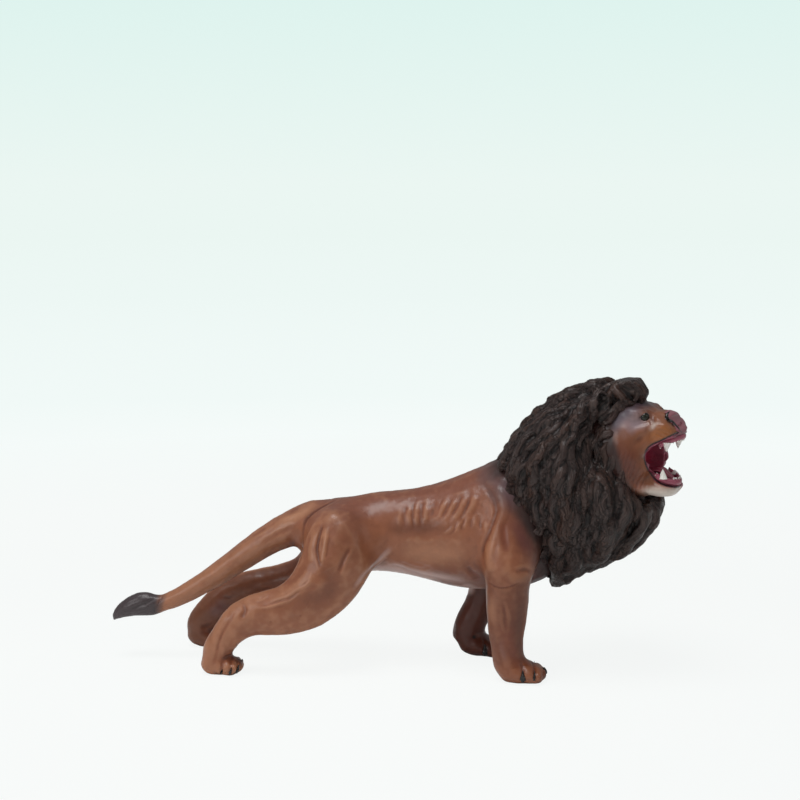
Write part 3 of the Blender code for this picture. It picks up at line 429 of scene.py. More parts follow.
# %% One skin from the castings
skin_castings = (
    "torso", "right_foreleg", "left_foreleg", "right_hind_leg", "left_hind_leg", "tail", "tail_tuft"
)
seam_overlap = 0.25 * mm
skin_voxel = 1.0 * mm
skin_rounds = 22

skin = casting_copy("skin", *skin_castings)
puff(skin, seam_overlap)
melted(skin, skin_voxel)
even_out(skin, skin_rounds)
puff(skin, -seam_overlap)
print("skin:", len(skin.data.vertices), "vertices")

# %% [markdown]
# ## Strokes
# A sculptor works in strokes: a groove pressed with a tool, a ridge of clay laid on. Here a stroke is a
# short row of pixels of the photograph. A ray from the camera through each pixel finds its place on the skin,
# and the vertices round that path move along their normals, most in the middle and not at all at the rim. A
# stroke that the other flank shares is mirrored across the body and laid on again there.

# %% Tracing and pressing
path_spacing = 1.5
taper_power = 0.6
rub_gain = 1.5


def spaced(points):
    """The row of pixels with more of them between, along a smooth curve through all."""
    if len(points) == 1:
        return list(points)
    rows = [Vector(point) for point in points]
    ends = [rows[0] * 2 - rows[1], *rows, rows[-1] * 2 - rows[-2]]
    found = []
    for before, start, end, after in zip(ends, ends[1:], ends[2:], ends[3:]):
        steps = max(1, round((end - start).length / path_spacing))
        for step in range(steps):
            t = step / steps
            curve = start * 2 + (end - before) * t
            curve += (before * 2 - start * 5 + end * 4 - after) * t**2
            curve += (start * 3 - before - end * 3 + after) * t**3
            found.append(curve / 2)
    found.append(rows[-1])
    return found


def traced(tree, points):
    """The places on a surface that the camera sees at these pixels, as an array."""
    found = []
    for point in spaced(points):
        place = tree.ray_cast(eye_point, sight_line(*point))[0]
        if place is not None:
            found.append(place)
    return np.array(found)


def moved(tree, path, move):
    """The same path elsewhere: each place is moved, and then put back on the surface."""
    return np.array([tree.find_nearest(move(Vector(place)))[0] for place in path])


def across_body(place):
    """The same place on the other flank."""
    return Vector((place.x, -place.y, place.z))


def stroke_reach(places, path, width, keen=2.0):
    """From 1 on the path down to 0 at half the width from it. The ends of a long stroke taper."""
    reach = np.zeros(len(places))
    if not len(path):
        return reach
    half = width / 2
    low = path.min(axis=0) - half
    high = path.max(axis=0) + half
    near = np.flatnonzero(((places > low) & (places < high)).all(axis=1))
    if not len(near):
        return reach
    gaps = np.linalg.norm(places[near, None] - path[None], axis=2)
    along = (gaps.argmin(axis=1) + 0.5) / len(path)
    taper = np.sin(math.pi * along) ** taper_power
    reach[near] = np.clip(1.0 - (gaps.min(axis=1) / half) ** 2, 0.0, 1.0) ** keen * taper
    return reach


def press(obj, tree, strokes, strength, moves=()):
    """Presses a list of strokes, each a depth, a width and its pixels. A negative depth raises a ridge."""
    places = vertex_places(obj)
    normals = vertex_normals(obj)
    depth_here = np.zeros(len(places))
    for depth, width, points in strokes:
        path = traced(tree, points)
        for line in [path] + [moved(tree, path, move) for move in moves]:
            depth_here += stroke_reach(places, line, width * mm) * depth * strength * mm
    move_vertices(obj, places - normals * depth_here[:, None])
    print(obj.name, "pressed with", len(strokes), "strokes, deepest", round(depth_here.max() / mm, 2), "mm")


def relax(obj, tree, zones, moves=()):
    """Rubs the surface smooth along some strokes, each a number of rounds, a width and its pixels."""
    ends = edge_ends(obj)
    for rounds, width, points in zones:
        places = vertex_places(obj)
        path = traced(tree, points)
        reach = np.zeros(len(places))
        for line in [path] + [moved(tree, path, move) for move in moves]:
            reach = np.maximum(reach, stroke_reach(places, line, width * mm, 1.0))
        reach = np.clip(reach * rub_gain, 0.0, 1.0)[:, None]
        for _ in range(rounds):
            places += (neighbour_mean(places, ends) - places) * reach
        move_vertices(obj, places)


# %% [markdown]
# ## Rubbing the skin smooth
# Before any line is cut, the rough form is rubbed down where the haunch, the tail and the shoulder swell
# out of the trunk. On the toy they flow into it without an edge.

# %% Smooth passages
smooth_zones = [
    (70, 24.0, [(335, 498), (352, 504), (366, 515), (376, 532), (382, 548), (380, 562)]),
    (50, 16.0, [(322, 506), (336, 499), (350, 498)]),
    (60, 20.0, [(308, 500), (320, 498), (332, 496.5), (345, 496), (360, 495)]),
    (30, 14.0, [(302, 545), (304, 530), (311, 518), (322, 509)]),
    (40, 16.0, [(484, 575), (478, 560), (478, 540), (480, 520), (483, 500)]),
    (40, 20.0, [(392, 552), (380, 566), (364, 582)]),
]
skin_tree = tree_of(skin)
relax(skin, skin_tree, smooth_zones, [across_body])
refined(skin)

# %% The unevenness of a hand-made pattern
hand_scale, hand_depth = 210.0, 0.13 * mm
fine_scale_share, fine_depth_share = 2.3, 0.5


def roughen(obj, scale, depth):
    """Lifts and lowers the surface a little, in patches a few millimetres wide."""
    places = vertex_places(obj)
    broad = [noise.noise(Vector(place) * scale) for place in places]
    fine = [noise.noise(Vector(place) * scale * fine_scale_share) for place in places]
    lift = np.array(broad) + fine_depth_share * np.array(fine)
    move_vertices(obj, places + vertex_normals(obj) * (lift * depth)[:, None])


roughen(skin, hand_scale, hand_depth)
skin_tree = tree_of(skin)
print("skin:", len(skin.data.vertices), "vertices after refining")

# %% [markdown]
# ## Muscles, ribs and folds
# The lion is lean: its ribs show as a row of upright ridges, the shoulder is parted into lobes, and two
# slits run down the haunch. Lines are a few tenths of a millimetre deep and broad hollows up to one, as on
# the real casting. A stroke is its depth and width in millimetres, and its pixels.

# %% Strokes on both flanks
rib_ridges = [
    (-0.45, 3.0, [(400, 508), (399, 520), (400, 528)]),
    (-0.70, 3.2, [(410, 505), (409, 515), (410, 526)]),
    (-0.80, 3.2, [(417, 503), (416, 513), (417, 526)]),
    (-0.85, 3.2, [(427, 500), (426, 511), (425, 522)]),
    (-0.80, 3.6, [(446, 499), (442, 508), (438, 518)]),
    (-0.80, 3.6, [(456, 498), (452, 507), (447, 517)]),
    (-0.90, 4.0, [(465, 498), (460, 508), (453, 519)]),
    (-1.00, 5.5, [(475, 495), (473, 503), (467, 513)]),
]
rib_grooves = [
    (0.50, 2.6, [(405, 507), (404, 517), (405, 527)]),
    (0.60, 2.4, [(413.5, 505), (412.5, 516), (413.5, 526)]),
    (0.60, 2.8, [(422, 502), (421, 512), (421, 524)]),
    (0.55, 3.6, [(436, 500), (433, 510), (431, 520)]),
    (0.55, 2.6, [(451, 499), (447, 508), (442, 518)]),
    (0.55, 2.6, [(461, 498), (457, 507), (451, 518)]),
    (0.95, 2.8, [(470, 497), (467, 507), (460, 519)]),
    (0.70, 9.0, [(400, 533), (430, 532), (452, 530)]),
    (0.60, 8.0, [(484, 500), (488, 512), (486, 524)]),
]
side_fingers = [
    (-0.50, 2.2, [(444, 534), (449, 531), (453, 527)]),
    (-0.55, 2.2, [(455, 531), (458, 526), (461, 522)]),
    (-0.55, 2.4, [(464, 528), (466, 523), (468, 518)]),
    (-0.55, 2.4, [(474, 527), (475, 522), (476, 516)]),
    (-0.50, 2.6, [(484, 530), (485, 524), (486, 518)]),
    (0.45, 2.0, [(451, 534), (455, 529), (457, 524)]),
    (0.45, 2.0, [(461, 530), (463, 525), (465, 520)]),
    (0.45, 2.2, [(470, 528), (471, 523), (472, 517)]),
    (0.45, 2.2, [(480, 529), (480, 523), (481, 517)]),
]
shoulder_lobes = [
    (-0.90, 6.0, [(487, 478), (497, 490), (505, 505), (502, 517), (497, 530), (490, 548)]),
    (0.70, 4.0, [(484, 484), (492, 497), (496, 511), (491, 527), (484, 546), (481, 562)]),
    (0.90, 4.5, [(503, 522), (504, 537), (506, 552)]),
    (-0.80, 8.0, [(490, 540), (489, 558), (493, 572)]),
    (0.80, 11.0, [(512, 535), (517, 553), (520, 566)]),
    (0.70, 3.0, [(518, 571), (525, 570), (531, 572)]),
    (-0.60, 6.0, [(507, 574), (517, 579), (528, 579)]),
    (0.80, 6.0, [(467, 566), (473, 573), (478, 579)]),
    (-0.50, 3.0, [(471, 566), (475, 573)]),
    (0.50, 8.0, [(505, 470), (512, 500), (520, 525)]),
]
belly_lines = [
    (0.40, 3.0, [(398, 566), (418, 573), (440, 578), (462, 582)]),
    (-0.30, 4.0, [(395, 562), (410, 568), (430, 572)]),
]
haunch_slits = [
    (1.10, 2.6, [(322, 526), (319, 537), (317, 550), (320, 566)]),
    (-0.70, 3.2, [(327, 527), (325, 544), (322, 562)]),
    (-0.60, 4.5, [(314, 534), (311, 548), (311, 562)]),
    (0.80, 3.6, [(349, 549), (344, 559), (339, 572)]),
    (-0.55, 2.6, [(352, 550), (347, 560), (342, 572)]),
    (0.60, 4.0, [(385, 556), (372, 567), (361, 579)]),
    (-0.60, 3.2, [(391, 551), (378, 563), (366, 574), (355, 588)]),
    (0.45, 12.0, [(372, 520), (366, 545), (356, 565)]),
    (-1.20, 16.0, [(367, 574), (370, 580)]),
    (1.30, 13.0, [(326, 570), (333, 585), (324, 600), (306, 606)]),
    (-0.80, 10.0, [(312, 572), (302, 584), (286, 592)]),
    (0.60, 3.0, [(336, 500), (326, 505), (316, 511), (307, 519), (303, 530)]),
    (-0.35, 8.0, [(338, 512), (330, 518)]),
]
rib_strength, muscle_strength = 0.34, 0.6
press(skin, skin_tree, rib_ridges + rib_grooves + side_fingers, rib_strength, [across_body])
press(skin, skin_tree, shoulder_lobes + belly_lines + haunch_slits, muscle_strength, [across_body])

# %% Strokes on the near legs and the tail
hock_wrinkles = [
    (-0.50, 2.4, [(312, 572), (308, 584), (297, 590), (285, 597), (272, 600)]),
    (-0.45, 2.0, [(290, 596), (281, 603), (269, 607), (256, 608)]),
    (-0.40, 2.0, [(300, 592), (291, 600), (279, 605)]),
    (-0.35, 1.8, [(268, 596), (262, 600), (256, 601)]),
    (0.40, 1.8, [(303, 589), (294, 596), (284, 600), (270, 604)]),
    (0.40, 1.8, [(310, 580), (301, 587)]),
    (0.70, 4.0, [(242, 602), (245, 610), (241, 618)]),
    (0.45, 2.6, [(235, 612), (222, 634), (217, 650), (214, 664)]),
    (-0.50, 4.5, [(231, 605), (221, 622), (212, 640)]),
    (1.60, 7.0, [(203, 671), (208, 674)]),
    (-1.20, 7.0, [(200, 654), (200, 660)]),
    (0.50, 9.0, [(318, 585), (306, 600), (290, 608)]),
    (0.30, 1.4, [(270.6, 621.8)]),
    (0.30, 1.4, [(300.4, 615.9)]),
]
hind_toes = [
    (0.55, 2.6, [(223, 659), (229, 656), (235, 655)]),
    (0.55, 1.8, [(222, 662), (221.5, 668), (220.5, 674)]),
    (0.55, 1.8, [(230.5, 661), (230.8, 668), (229.5, 674)]),
    (0.55, 1.8, [(237, 660), (237.6, 667), (236, 673)]),
    (-0.40, 3.0, [(226.5, 663), (226, 670)]),
    (-0.35, 2.6, [(234.5, 662), (234, 669)]),
]
fore_toes = [
    (0.45, 2.6, [(521, 663), (522.5, 670), (522.5, 682)]),
    (0.45, 2.4, [(532, 662), (534.5, 668), (534.5, 680)]),
    (0.25, 2.0, [(541, 665), (543.5, 670), (542.5, 679)]),
    (-0.30, 4.4, [(527, 664), (528.5, 672), (528.5, 680)]),
    (-0.25, 3.6, [(538, 666), (539, 671), (539, 678)]),
    (-0.30, 4.8, [(513, 668), (513.5, 677)]),
]
fore_tendons = [
    (-0.45, 2.6, [(505, 603), (508, 612), (510, 620)]),
    (-0.45, 2.2, [(500, 616), (502, 624), (504, 632)]),
    (0.40, 2.6, [(503, 606), (505, 616), (506, 628)]),
    (0.35, 5.0, [(511, 610), (512, 630), (511, 646)]),
    (-0.40, 5.0, [(502, 648), (506, 660), (508, 668)]),
    (0.50, 1.2, [(488, 582), (495, 586.5), (503, 588), (511, 586.5), (518, 583)]),
]
tail_folds = [
    (-0.30, 2.2, [(307, 511), (295, 515), (282, 520)]),
    (-0.30, 2.2, [(275, 525), (262, 533), (250, 540)]),
    (0.30, 3.5, [(298, 524), (280, 533), (262, 543)]),
    (0.80, 1.8, [(131, 610), (142, 605), (154, 599)]),
    (-0.50, 2.0, [(134, 613), (144, 608), (154, 603)]),
    (0.35, 1.4, [(124, 608), (134, 601), (146, 595)]),
    (0.35, 1.4, [(126, 614), (138, 613), (150, 610)]),
    (0.50, 1.6, [(163, 595), (159, 603), (155, 612)]),
]
far_leg_folds = [
    (0.50, 2.0, [(224, 597), (228, 597.5), (232, 597)]),
    (0.50, 2.0, [(258, 590.5), (264, 589.5), (270, 588)]),
    (0.60, 3.5, [(201, 627), (206, 626), (213, 623)]),
    (-0.50, 6.0, [(212, 604), (218, 612), (211, 618)]),
]
press(skin, skin_tree, hock_wrinkles + fore_tendons + tail_folds + far_leg_folds, muscle_strength)

# %% Toes on all four paws
fore_middles = ((58.6, -24.1), (41.4, 16.0))
hind_middles = ((-74.9, -21.7), (-87.3, 21.3))
fore_toe_strength, hind_toe_strength = 1.0, 0.8


def paw_moves(near, far):
    """Moves from the outer side of the near paw to its inner side, and to both sides of the far paw."""
    def mover(middle, way):
        def move(place):
            return Vector((
                place.x + (middle[0] - near[0]) * mm,
                middle[1] * mm + (place.y - near[1] * mm) * way,
                place.z,
            ))
        return move
    return [mover(near, -1.0), mover(far, -1.0), mover(far, 1.0)]


fore_moves = paw_moves(*fore_middles)
hind_moves = paw_moves(*hind_middles)
press(skin, skin_tree, fore_toes, fore_toe_strength, fore_moves)
press(skin, skin_tree, hind_toes, hind_toe_strength, hind_moves)

# %% [markdown]
# ## Airbrush
# The vinyl is cast in an orange brown. A darker brown wash in the hollows doubles as painted shade there, and
# a paler dry-brush on what stands out as painted highlight. An airbrush adds soft zones: pinkish grey on the
# belly, made paler as painted sheen below, dark brown on the inside of the legs, which also paints the shade
# between them, and near black on the tail's tuft. Some sprayed strokes are painted shade, highlight or sheen
# too. The paint is kept as a colour at each vertex, so it follows the shape. A tint comes in between two
# values of a height, a length or a slant, so each such pair has a name.

# %% Painting helpers
def blended(colours, tint, amount):
    """Lays a tint over the colours, by an amount from 0 to 1 at each vertex."""
    amount = np.clip(amount, 0.0, 1.0)[:, None]
    return colours * (1.0 - amount) + np.array(tint) * amount


def fade(values, start, end):
    """From 0 at the start to 1 at the end, without a corner. With a minus sign it grows as values fall."""
    share = np.clip((values - start) / (end - start), 0.0, 1.0)
    return share * share * (3.0 - 2.0 * share)


def hollowness(obj, rounds):
    """How deep each vertex lies in a hollow, in millimetres. What stands out is below zero."""
    ends = edge_ends(obj)
    places = vertex_places(obj)
    average = places.copy()
    for _ in range(rounds):
        average = neighbour_mean(average, ends)
    return ((average - places) * vertex_normals(obj)).sum(axis=1) / mm


def airbrush(obj, tree, colours, strokes, moves=()):
    """Sprays a list of strokes, each a tint, a strength, a width and its pixels."""
    places = vertex_places(obj)
    for tint, strength, width, points in strokes:
        path = traced(tree, points)
        for line in [path] + [moved(tree, path, move) for move in moves]:
            colours = blended(colours, tint, stroke_reach(places, line, width * mm) * strength)
    return colours


def set_paint(obj, colours):
    """Stores the colours on the mesh, in place of any that it had."""
    if "paint" in obj.data.attributes:
        obj.data.attributes.remove(obj.data.attributes["paint"])
    layer = obj.data.attributes.new("paint", "FLOAT_COLOR", "POINT")
    whole = np.column_stack([colours, np.ones(len(colours))])
    layer.data.foreach_set("color", whole.ravel())


# %% The coat's colours
vinyl_tone = tone(150, 92, 64)
# Painted shade: a darker brown for hollows, slits, creases and valleys, where shade falls.
shade_tone = tone(92, 48, 34)
# Painted highlight: a paler brown for what stands out and for lit patches.
highlight_tone = tone(184, 130, 98)
back_tone = tone(132, 78, 60)
# A pale pinkish grey for the belly, made paler still as painted sheen on its underside; along the flank fold
# it is a painted highlight.
belly_and_sheen_tone = tone(206, 178, 172)
# Dark brown for the inner sides of the legs, which also paints the shade between them, and painted shade on
# the shaded side of the shoulder, forelegs and paws.
inside_shade_tone = tone(82, 36, 22)
shoulder_tone = tone(132, 76, 52)
# A darker brown on the forelegs, partly their own colour and partly painted shade on the side away from the
# light.
foreleg_shade_tone = tone(104, 52, 32)
haunch_tone = tone(118, 68, 46)
scruff_tone = tone(54, 38, 36)
rust_tone = tone(122, 64, 44)
# Painted sheen: a pinkish grey sprayed on lit parts of the shoulder and the legs.
mauve_sheen_tone = tone(120, 92, 100)
# A grey band at the edge of the dark spray on the nape, which also paints the sheen there.
nape_sheen_tone = tone(112, 86, 86)
plum_tone = tone(98, 52, 52)
paw_tone = tone(142, 78, 48)
tuft_tone = tone(74, 64, 66)
black_tone = tone(20, 15, 15)

# %% The coat from the shape
trunk_heights, facing_up = (36.0, 46.0), (0.25, 0.85)
facing_down, belly_heights = (0.45, 0.85), (30.0, 40.0)
belly_from, belly_to = (-38.0, -14.0), (-62.0, -40.0)
foreleg_from, foreleg_below, paw_below = (14.0, 24.0), (-58.0, -40.0), (-14.0, -3.0)
wide_rounds, fine_rounds = 60, 10
wide_hollows, fine_hollows = (0.03, 0.40), (0.012, 0.08)
wide_ridges, fine_ridges = (0.06, 0.45), (0.014, 0.08)
facing_inward, inside_below, darker_from = (-0.05, 0.55), (-56.0, -38.0), (0.0, 20.0)
far_leg_beyond, far_leg_below, far_leg_facing = (2.0, 8.0), (-50.0, -36.0), (-0.4, 0.2)
tuft_from = (104.0, 109.0)

places = vertex_places(skin) / mm
normals = vertex_normals(skin)
x, y, z = places.T
coat = np.tile(np.array(vinyl_tone), (len(places), 1))
coat = blended(coat, back_tone, fade(normals[:, 2], *facing_up) * fade(z, *trunk_heights) * 0.8)
belly_zone = fade(-normals[:, 2], *facing_down) * fade(x, *belly_from) * fade(-x, *belly_to)
coat = blended(coat, belly_and_sheen_tone, belly_zone * fade(z, *belly_heights) * 0.95)
# The forelegs get their darker brown, which is partly painted shade.
foreleg = fade(x, *foreleg_from) * fade(-z, *foreleg_below)
coat = blended(coat, foreleg_shade_tone, foreleg * 0.75)
coat = blended(coat, paw_tone, fade(-z, *paw_below) * 0.6)
wide_hollow = hollowness(skin, wide_rounds)
fine_hollow = hollowness(skin, fine_rounds)
# Painted shade in the wide and the fine hollows, over the darker wash the toy has there.
coat = blended(coat, shade_tone, fade(wide_hollow, *wide_hollows) * 0.55)
coat = blended(coat, shade_tone, fade(fine_hollow, *fine_hollows) * 0.35)
# Painted highlight on what stands out, less of it on the forelegs.
coat = blended(coat, highlight_tone, fade(-wide_hollow, *wide_ridges) * (0.40 - 0.25 * foreleg))
coat = blended(coat, highlight_tone, fade(-fine_hollow, *fine_ridges) * (0.25 - 0.15 * foreleg))
# Dark brown on the inner sides of the legs, which also stands for the shade between them.
inner_shade = fade(-normals[:, 1] * np.sign(y), *facing_inward) * fade(-z, *inside_below)
coat = blended(coat, inside_shade_tone, inner_shade * (0.62 + 0.28 * fade(x, *darker_from)))
# Painted shade on the far foreleg, where it faces the near one.
far_leg = fade(x, *foreleg_from) * fade(y, *far_leg_beyond) * fade(-z, *far_leg_below)
coat = blended(coat, inside_shade_tone, far_leg * fade(-normals[:, 1], *far_leg_facing) * 0.7)
coat = blended(coat, tuft_tone, fade(-x, *tuft_from))

# %% Dark spray round the mane
spray_behind, spray_above, out_of_reach = 30.0, 24.0, 99.0
plum_reach, plum_below, scruff_reach = (-15.0, -3.0), (-68.0, -52.0), (-13.0, -0.5)
nape_heights, neck_heights, neck_from = (72.0, 80.0), (84.0, 90.0), (58.0, 66.0)

mane_tree = tree_of(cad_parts["mane"])
mane_gap = np.full(len(x), out_of_reach)
for index in np.flatnonzero((x > spray_behind) & (z > spray_above)):
    mane_gap[index] = mane_tree.find_nearest(Vector(places[index] * mm))[3] / mm
scruff = fade(-mane_gap, *scruff_reach)
coat = blended(coat, plum_tone, fade(-mane_gap, *plum_reach) * fade(-z, *plum_below) * 0.8)
coat = blended(coat, scruff_tone, scruff * 0.95)
# Grey band on the nape, partly painted sheen.
coat = blended(coat, nape_sheen_tone, scruff * (1.0 - scruff) * 1.6 * fade(z, *nape_heights))
coat = blended(coat, scruff_tone, fade(z, *neck_heights) * fade(x, *neck_from))
print("coat painted on", len(coat), "vertices")

# %% Sprayed strokes
# Each is a tint, how strong it is, its width in millimetres and its pixels.
# Shade-tone strokes are painted shade in slits, creases and valleys, highlight-tone strokes painted
# highlights, and mauve ones painted sheen.
flank_spray = [
    (shoulder_tone, 0.7, 22.0, [(506, 500), (508, 525), (512, 550)]),
    (rust_tone, 0.8, 8.0, [(503, 522), (504, 538), (507, 553)]),
    (inside_shade_tone, 0.5, 12.0, [(524, 520), (525, 545), (522, 566)]),
    (mauve_sheen_tone, 0.4, 16.0, [(498, 478), (510, 492), (520, 510)]),
    (belly_and_sheen_tone, 0.8, 8.0, [(395, 568), (414, 577), (436, 584), (462, 588), (484, 588)]),
    (shade_tone, 0.8, 1.8, [(413, 575.6), (430, 581), (457, 586.4)]),
    (shade_tone, 0.6, 10.0, [(384, 526), (410, 528), (446, 527)]),
    # Painted highlight along the ridge of the flank fold.
    (belly_and_sheen_tone, 0.7, 4.0, [(390, 549), (377, 562), (365, 572), (355, 587)]),
    (shade_tone, 0.9, 1.8, [(322, 528), (318.6, 537), (317, 550), (319.4, 566)]),
    (highlight_tone, 0.7, 2.0, [(326, 528), (324.4, 546), (321.5, 564)]),
    (shade_tone, 0.7, 2.0, [(349.6, 548.6), (344.5, 557.8), (339.4, 571)]),
    (shade_tone, 0.6, 3.0, [(334, 501), (318, 509), (307, 517.5), (303.5, 528), (303.5, 543)]),
    (shade_tone, 0.6, 1.6, [(469, 501), (464, 514)]),
    (rust_tone, 0.6, 5.0, [(467, 567), (473, 573), (479, 578)]),
    (haunch_tone, 0.6, 22.0, [(352, 508), (352, 530), (346, 552), (338, 572)]),
    (highlight_tone, 0.6, 15.0, [(400, 550), (420, 553), (445, 554), (468, 552)]),
    (belly_and_sheen_tone, 0.85, 8.0, [(398, 566), (418, 573), (440, 577), (466, 581)]),
    (highlight_tone, 0.95, 8.0, [(318, 503), (304, 512), (290, 519), (274, 526)]),
    (scruff_tone, 0.95, 11.0, [(514, 500), (524, 516), (535, 531), (545, 546), (550, 562)]),
    (plum_tone, 0.6, 9.0, [(512, 520), (522, 538), (532, 556)]),
    (highlight_tone, 0.5, 8.0, [(494, 594), (492, 610), (494, 626)]),
    # Haunch brown below the thigh, which is also painted shade there.
    (haunch_tone, 0.45, 14.0, [(322, 586), (300, 604), (284, 616)]),
    (shade_tone, 0.45, 13.0, [(322, 560), (331, 584), (323, 598), (304, 606)]),
    (highlight_tone, 0.45, 8.0, [(310, 574), (300, 586), (284, 594), (268, 600)]),
]
fore_spray = [
    (black_tone, 0.9, 1.6, [(509, 685), (520, 685.4), (532, 684.6), (541, 682)]),
    (inside_shade_tone, 0.6, 5.0, [(541, 664), (545, 669), (545, 676), (541, 680)]),
]
hind_spray = [
    (black_tone, 0.95, 2.2, [(214, 672.5), (222, 675.5), (232, 675), (239, 669.5)]),
    (inside_shade_tone, 0.7, 4.0, [(236, 655), (240, 660), (240.5, 667)]),
]
near_spray = [
    (mauve_sheen_tone, 0.25, 4.0, [(501, 640), (503, 652), (506, 660)]),
    (inside_shade_tone, 0.6, 9.0, [(520, 590), (519, 615), (517, 640), (521, 656)]),
    (rust_tone, 0.7, 9.0, [(507, 625), (508, 640), (512, 654), (520, 661)]),
    # Painted shade in the seam's groove on the near foreleg.
    (shade_tone, 0.7, 1.2, [(488, 582), (495, 586.5), (503, 588), (511, 586.5), (518, 583)]),
    (mauve_sheen_tone, 0.35, 10.0, [(225, 601), (219, 609), (212, 616)]),
    (black_tone, 1.0, 3.0, [(474, 637)]),
    (tuft_tone, 0.6, 4.0, [(166, 593), (162, 601), (158, 611)]),
    # Black in the tuft's groove, as painted shade.
    (black_tone, 0.7, 1.4, [(132, 609), (142, 605), (153, 600)]),
]
coat = airbrush(skin, skin_tree, coat, flank_spray, [across_body])
coat = airbrush(skin, skin_tree, coat, near_spray)
coat = airbrush(skin, skin_tree, coat, fore_spray, fore_moves)
coat = airbrush(skin, skin_tree, coat, hind_spray, hind_moves)

# %% [markdown]
# ## Parting the castings
# The sculpted skin is now cut where the castings meet. Each cutter is an outline seen from the side, swept
# across the body. Both sides of a cut use the same outline, so the seam stays as tight as on a glued toy.
# The two pieces that have the most faces, the torso here and the mane later, are thinned a little.

# %% Cutting the skin
cut_below, cut_top, cut_far, cut_behind = -5.0, 130.0, 80.0, -300.0
hip_x, hip_height, hip_radius, pelvis_side = -26.67, 52.0, 25.0, 9.5
hip_start, groin_ahead, hock_behind, haunch_back_height = -50.0, 16.07, -200.0, 47.0
lobe_radius, lobe_height, chest_side, knee_height = 18.0, 60.5, 6.5, 31.9
lobe_start, lobe_end, paw_length = -46.5, -133.5, 43.0
tail_root = [(-43.7, 62.0), (-40.7, 66.8), (-20.7, 76.1)]
tuft_root = -106.9
right_shoulder, left_shoulder = (52.0, 32.0), (44.5, 12.3)


def arc(middle, height, radius, start, end, steps=24):
    """Points along an arc, in the plane of the side view."""
    angles = np.radians(np.linspace(start, end, steps + 1))
    return [(middle + radius * math.cos(a), height + radius * math.sin(a)) for a in angles]


def prism(name, outline, near, far):
    """A cutter with this outline in the side view, from near to far across the body."""
    form = bmesh.new()
    corners = [form.verts.new((x * mm, near * mm, z * mm)) for x, z in outline]
    face = form.faces.new(corners)
    swept = bmesh.ops.extrude_face_region(form, geom=[face])
    moved = [item for item in swept["geom"] if isinstance(item, bmesh.types.BMVert)]
    bmesh.ops.translate(form, verts=moved, vec=(0.0, (far - near) * mm, 0.0))
    bmesh.ops.recalc_face_normals(form, faces=form.faces[:])
    return new_piece(name, form)


def combine(obj, other, operation):
    """Cuts an object with another, or keeps what they share."""
    joint = obj.modifiers.new("joint", "BOOLEAN")
    joint.object = other
    joint.operation = operation
    joint.solver = "MANIFOLD"
    return apply_modifiers(obj)


def part_off(rest, name, outline, near, far):
    """Takes the casting inside the outline from the rest."""
    cutter = prism("cutter", outline, near, far)
    piece = bpy.data.objects.new(name, rest.data.copy())
    bpy.context.scene.collection.objects.link(piece)
    largest_body(combine(piece, cutter, "INTERSECT"))
    largest_body(combine(rest, cutter, "DIFFERENCE"))
    drop(cutter)
    return piece


def shoulder_outline(middle, heel):
    """A foreleg from the side: the leg's box, with the lobe of the shoulder's muscle hanging into its top."""
    lobe = arc(middle, lobe_height, lobe_radius, lobe_start, lobe_end)
    toe = heel + paw_length
    below = [(heel, cut_below), (toe, cut_below), (toe, knee_height), (lobe[0][0], knee_height)]
    return below + lobe + [(lobe[-1][0], knee_height), (heel, knee_height)]


hip_outline = [(hock_behind, cut_below), (hip_x + groin_ahead, cut_below)]
hip_outline += arc(hip_x, hip_height, hip_radius, hip_start, 180.0)
hip_outline += [(hip_x - hip_radius, haunch_back_height), (hock_behind, haunch_back_height)]
tail_outline = [(cut_behind, cut_below), (tail_root[0][0], cut_below), *tail_root]
tail_outline += [(tail_root[-1][0], cut_top), (cut_behind, cut_top)]
tuft_outline = [
    (cut_behind, cut_below), (tuft_root, cut_below), (tuft_root, cut_top), (cut_behind, cut_top)
]

rest = bpy.data.objects.new("torso_skin", skin.data.copy())
bpy.context.scene.collection.objects.link(rest)
castings = {
    "right_hind_leg": part_off(rest, "right_hind_skin", hip_outline, -cut_far, -pelvis_side),
    "left_hind_leg": part_off(rest, "left_hind_skin", hip_outline, pelvis_side, cut_far),
    "right_foreleg": part_off(
        rest, "right_fore_skin", shoulder_outline(*right_shoulder), -cut_far, -chest_side
    ),
    "left_foreleg": part_off(
        rest, "left_fore_skin", shoulder_outline(*left_shoulder), chest_side, cut_far
    ),
    "tail": part_off(rest, "tail_skin", tail_outline, -cut_far, cut_far),
    "torso": rest,
}
castings["tail_tuft"] = part_off(castings["tail"], "tuft_skin", tuft_outline, -cut_far, cut_far)
for node, piece in castings.items():
    thinned(piece)
    print(node, "has", len(piece.data.polygons), "faces")

# %% [markdown]
# ## The painted vinyl
# One recipe serves all the painted castings. It takes the brushed colour from the vertices and breaks it up
# with a faint mottle, as thin spray does. A second fine noise gives the surface its soft satin grain. Each
# finish has its own roughness, mottle and grain.

# %% Painted vinyl
mottle_scale, grain_scale = 170.0, 1300.0
sheen_down, sheen_up = 0.05, 0.07
vinyl_specular, vinyl_coat, vinyl_coat_roughness = 0.40, 0.20, 0.18


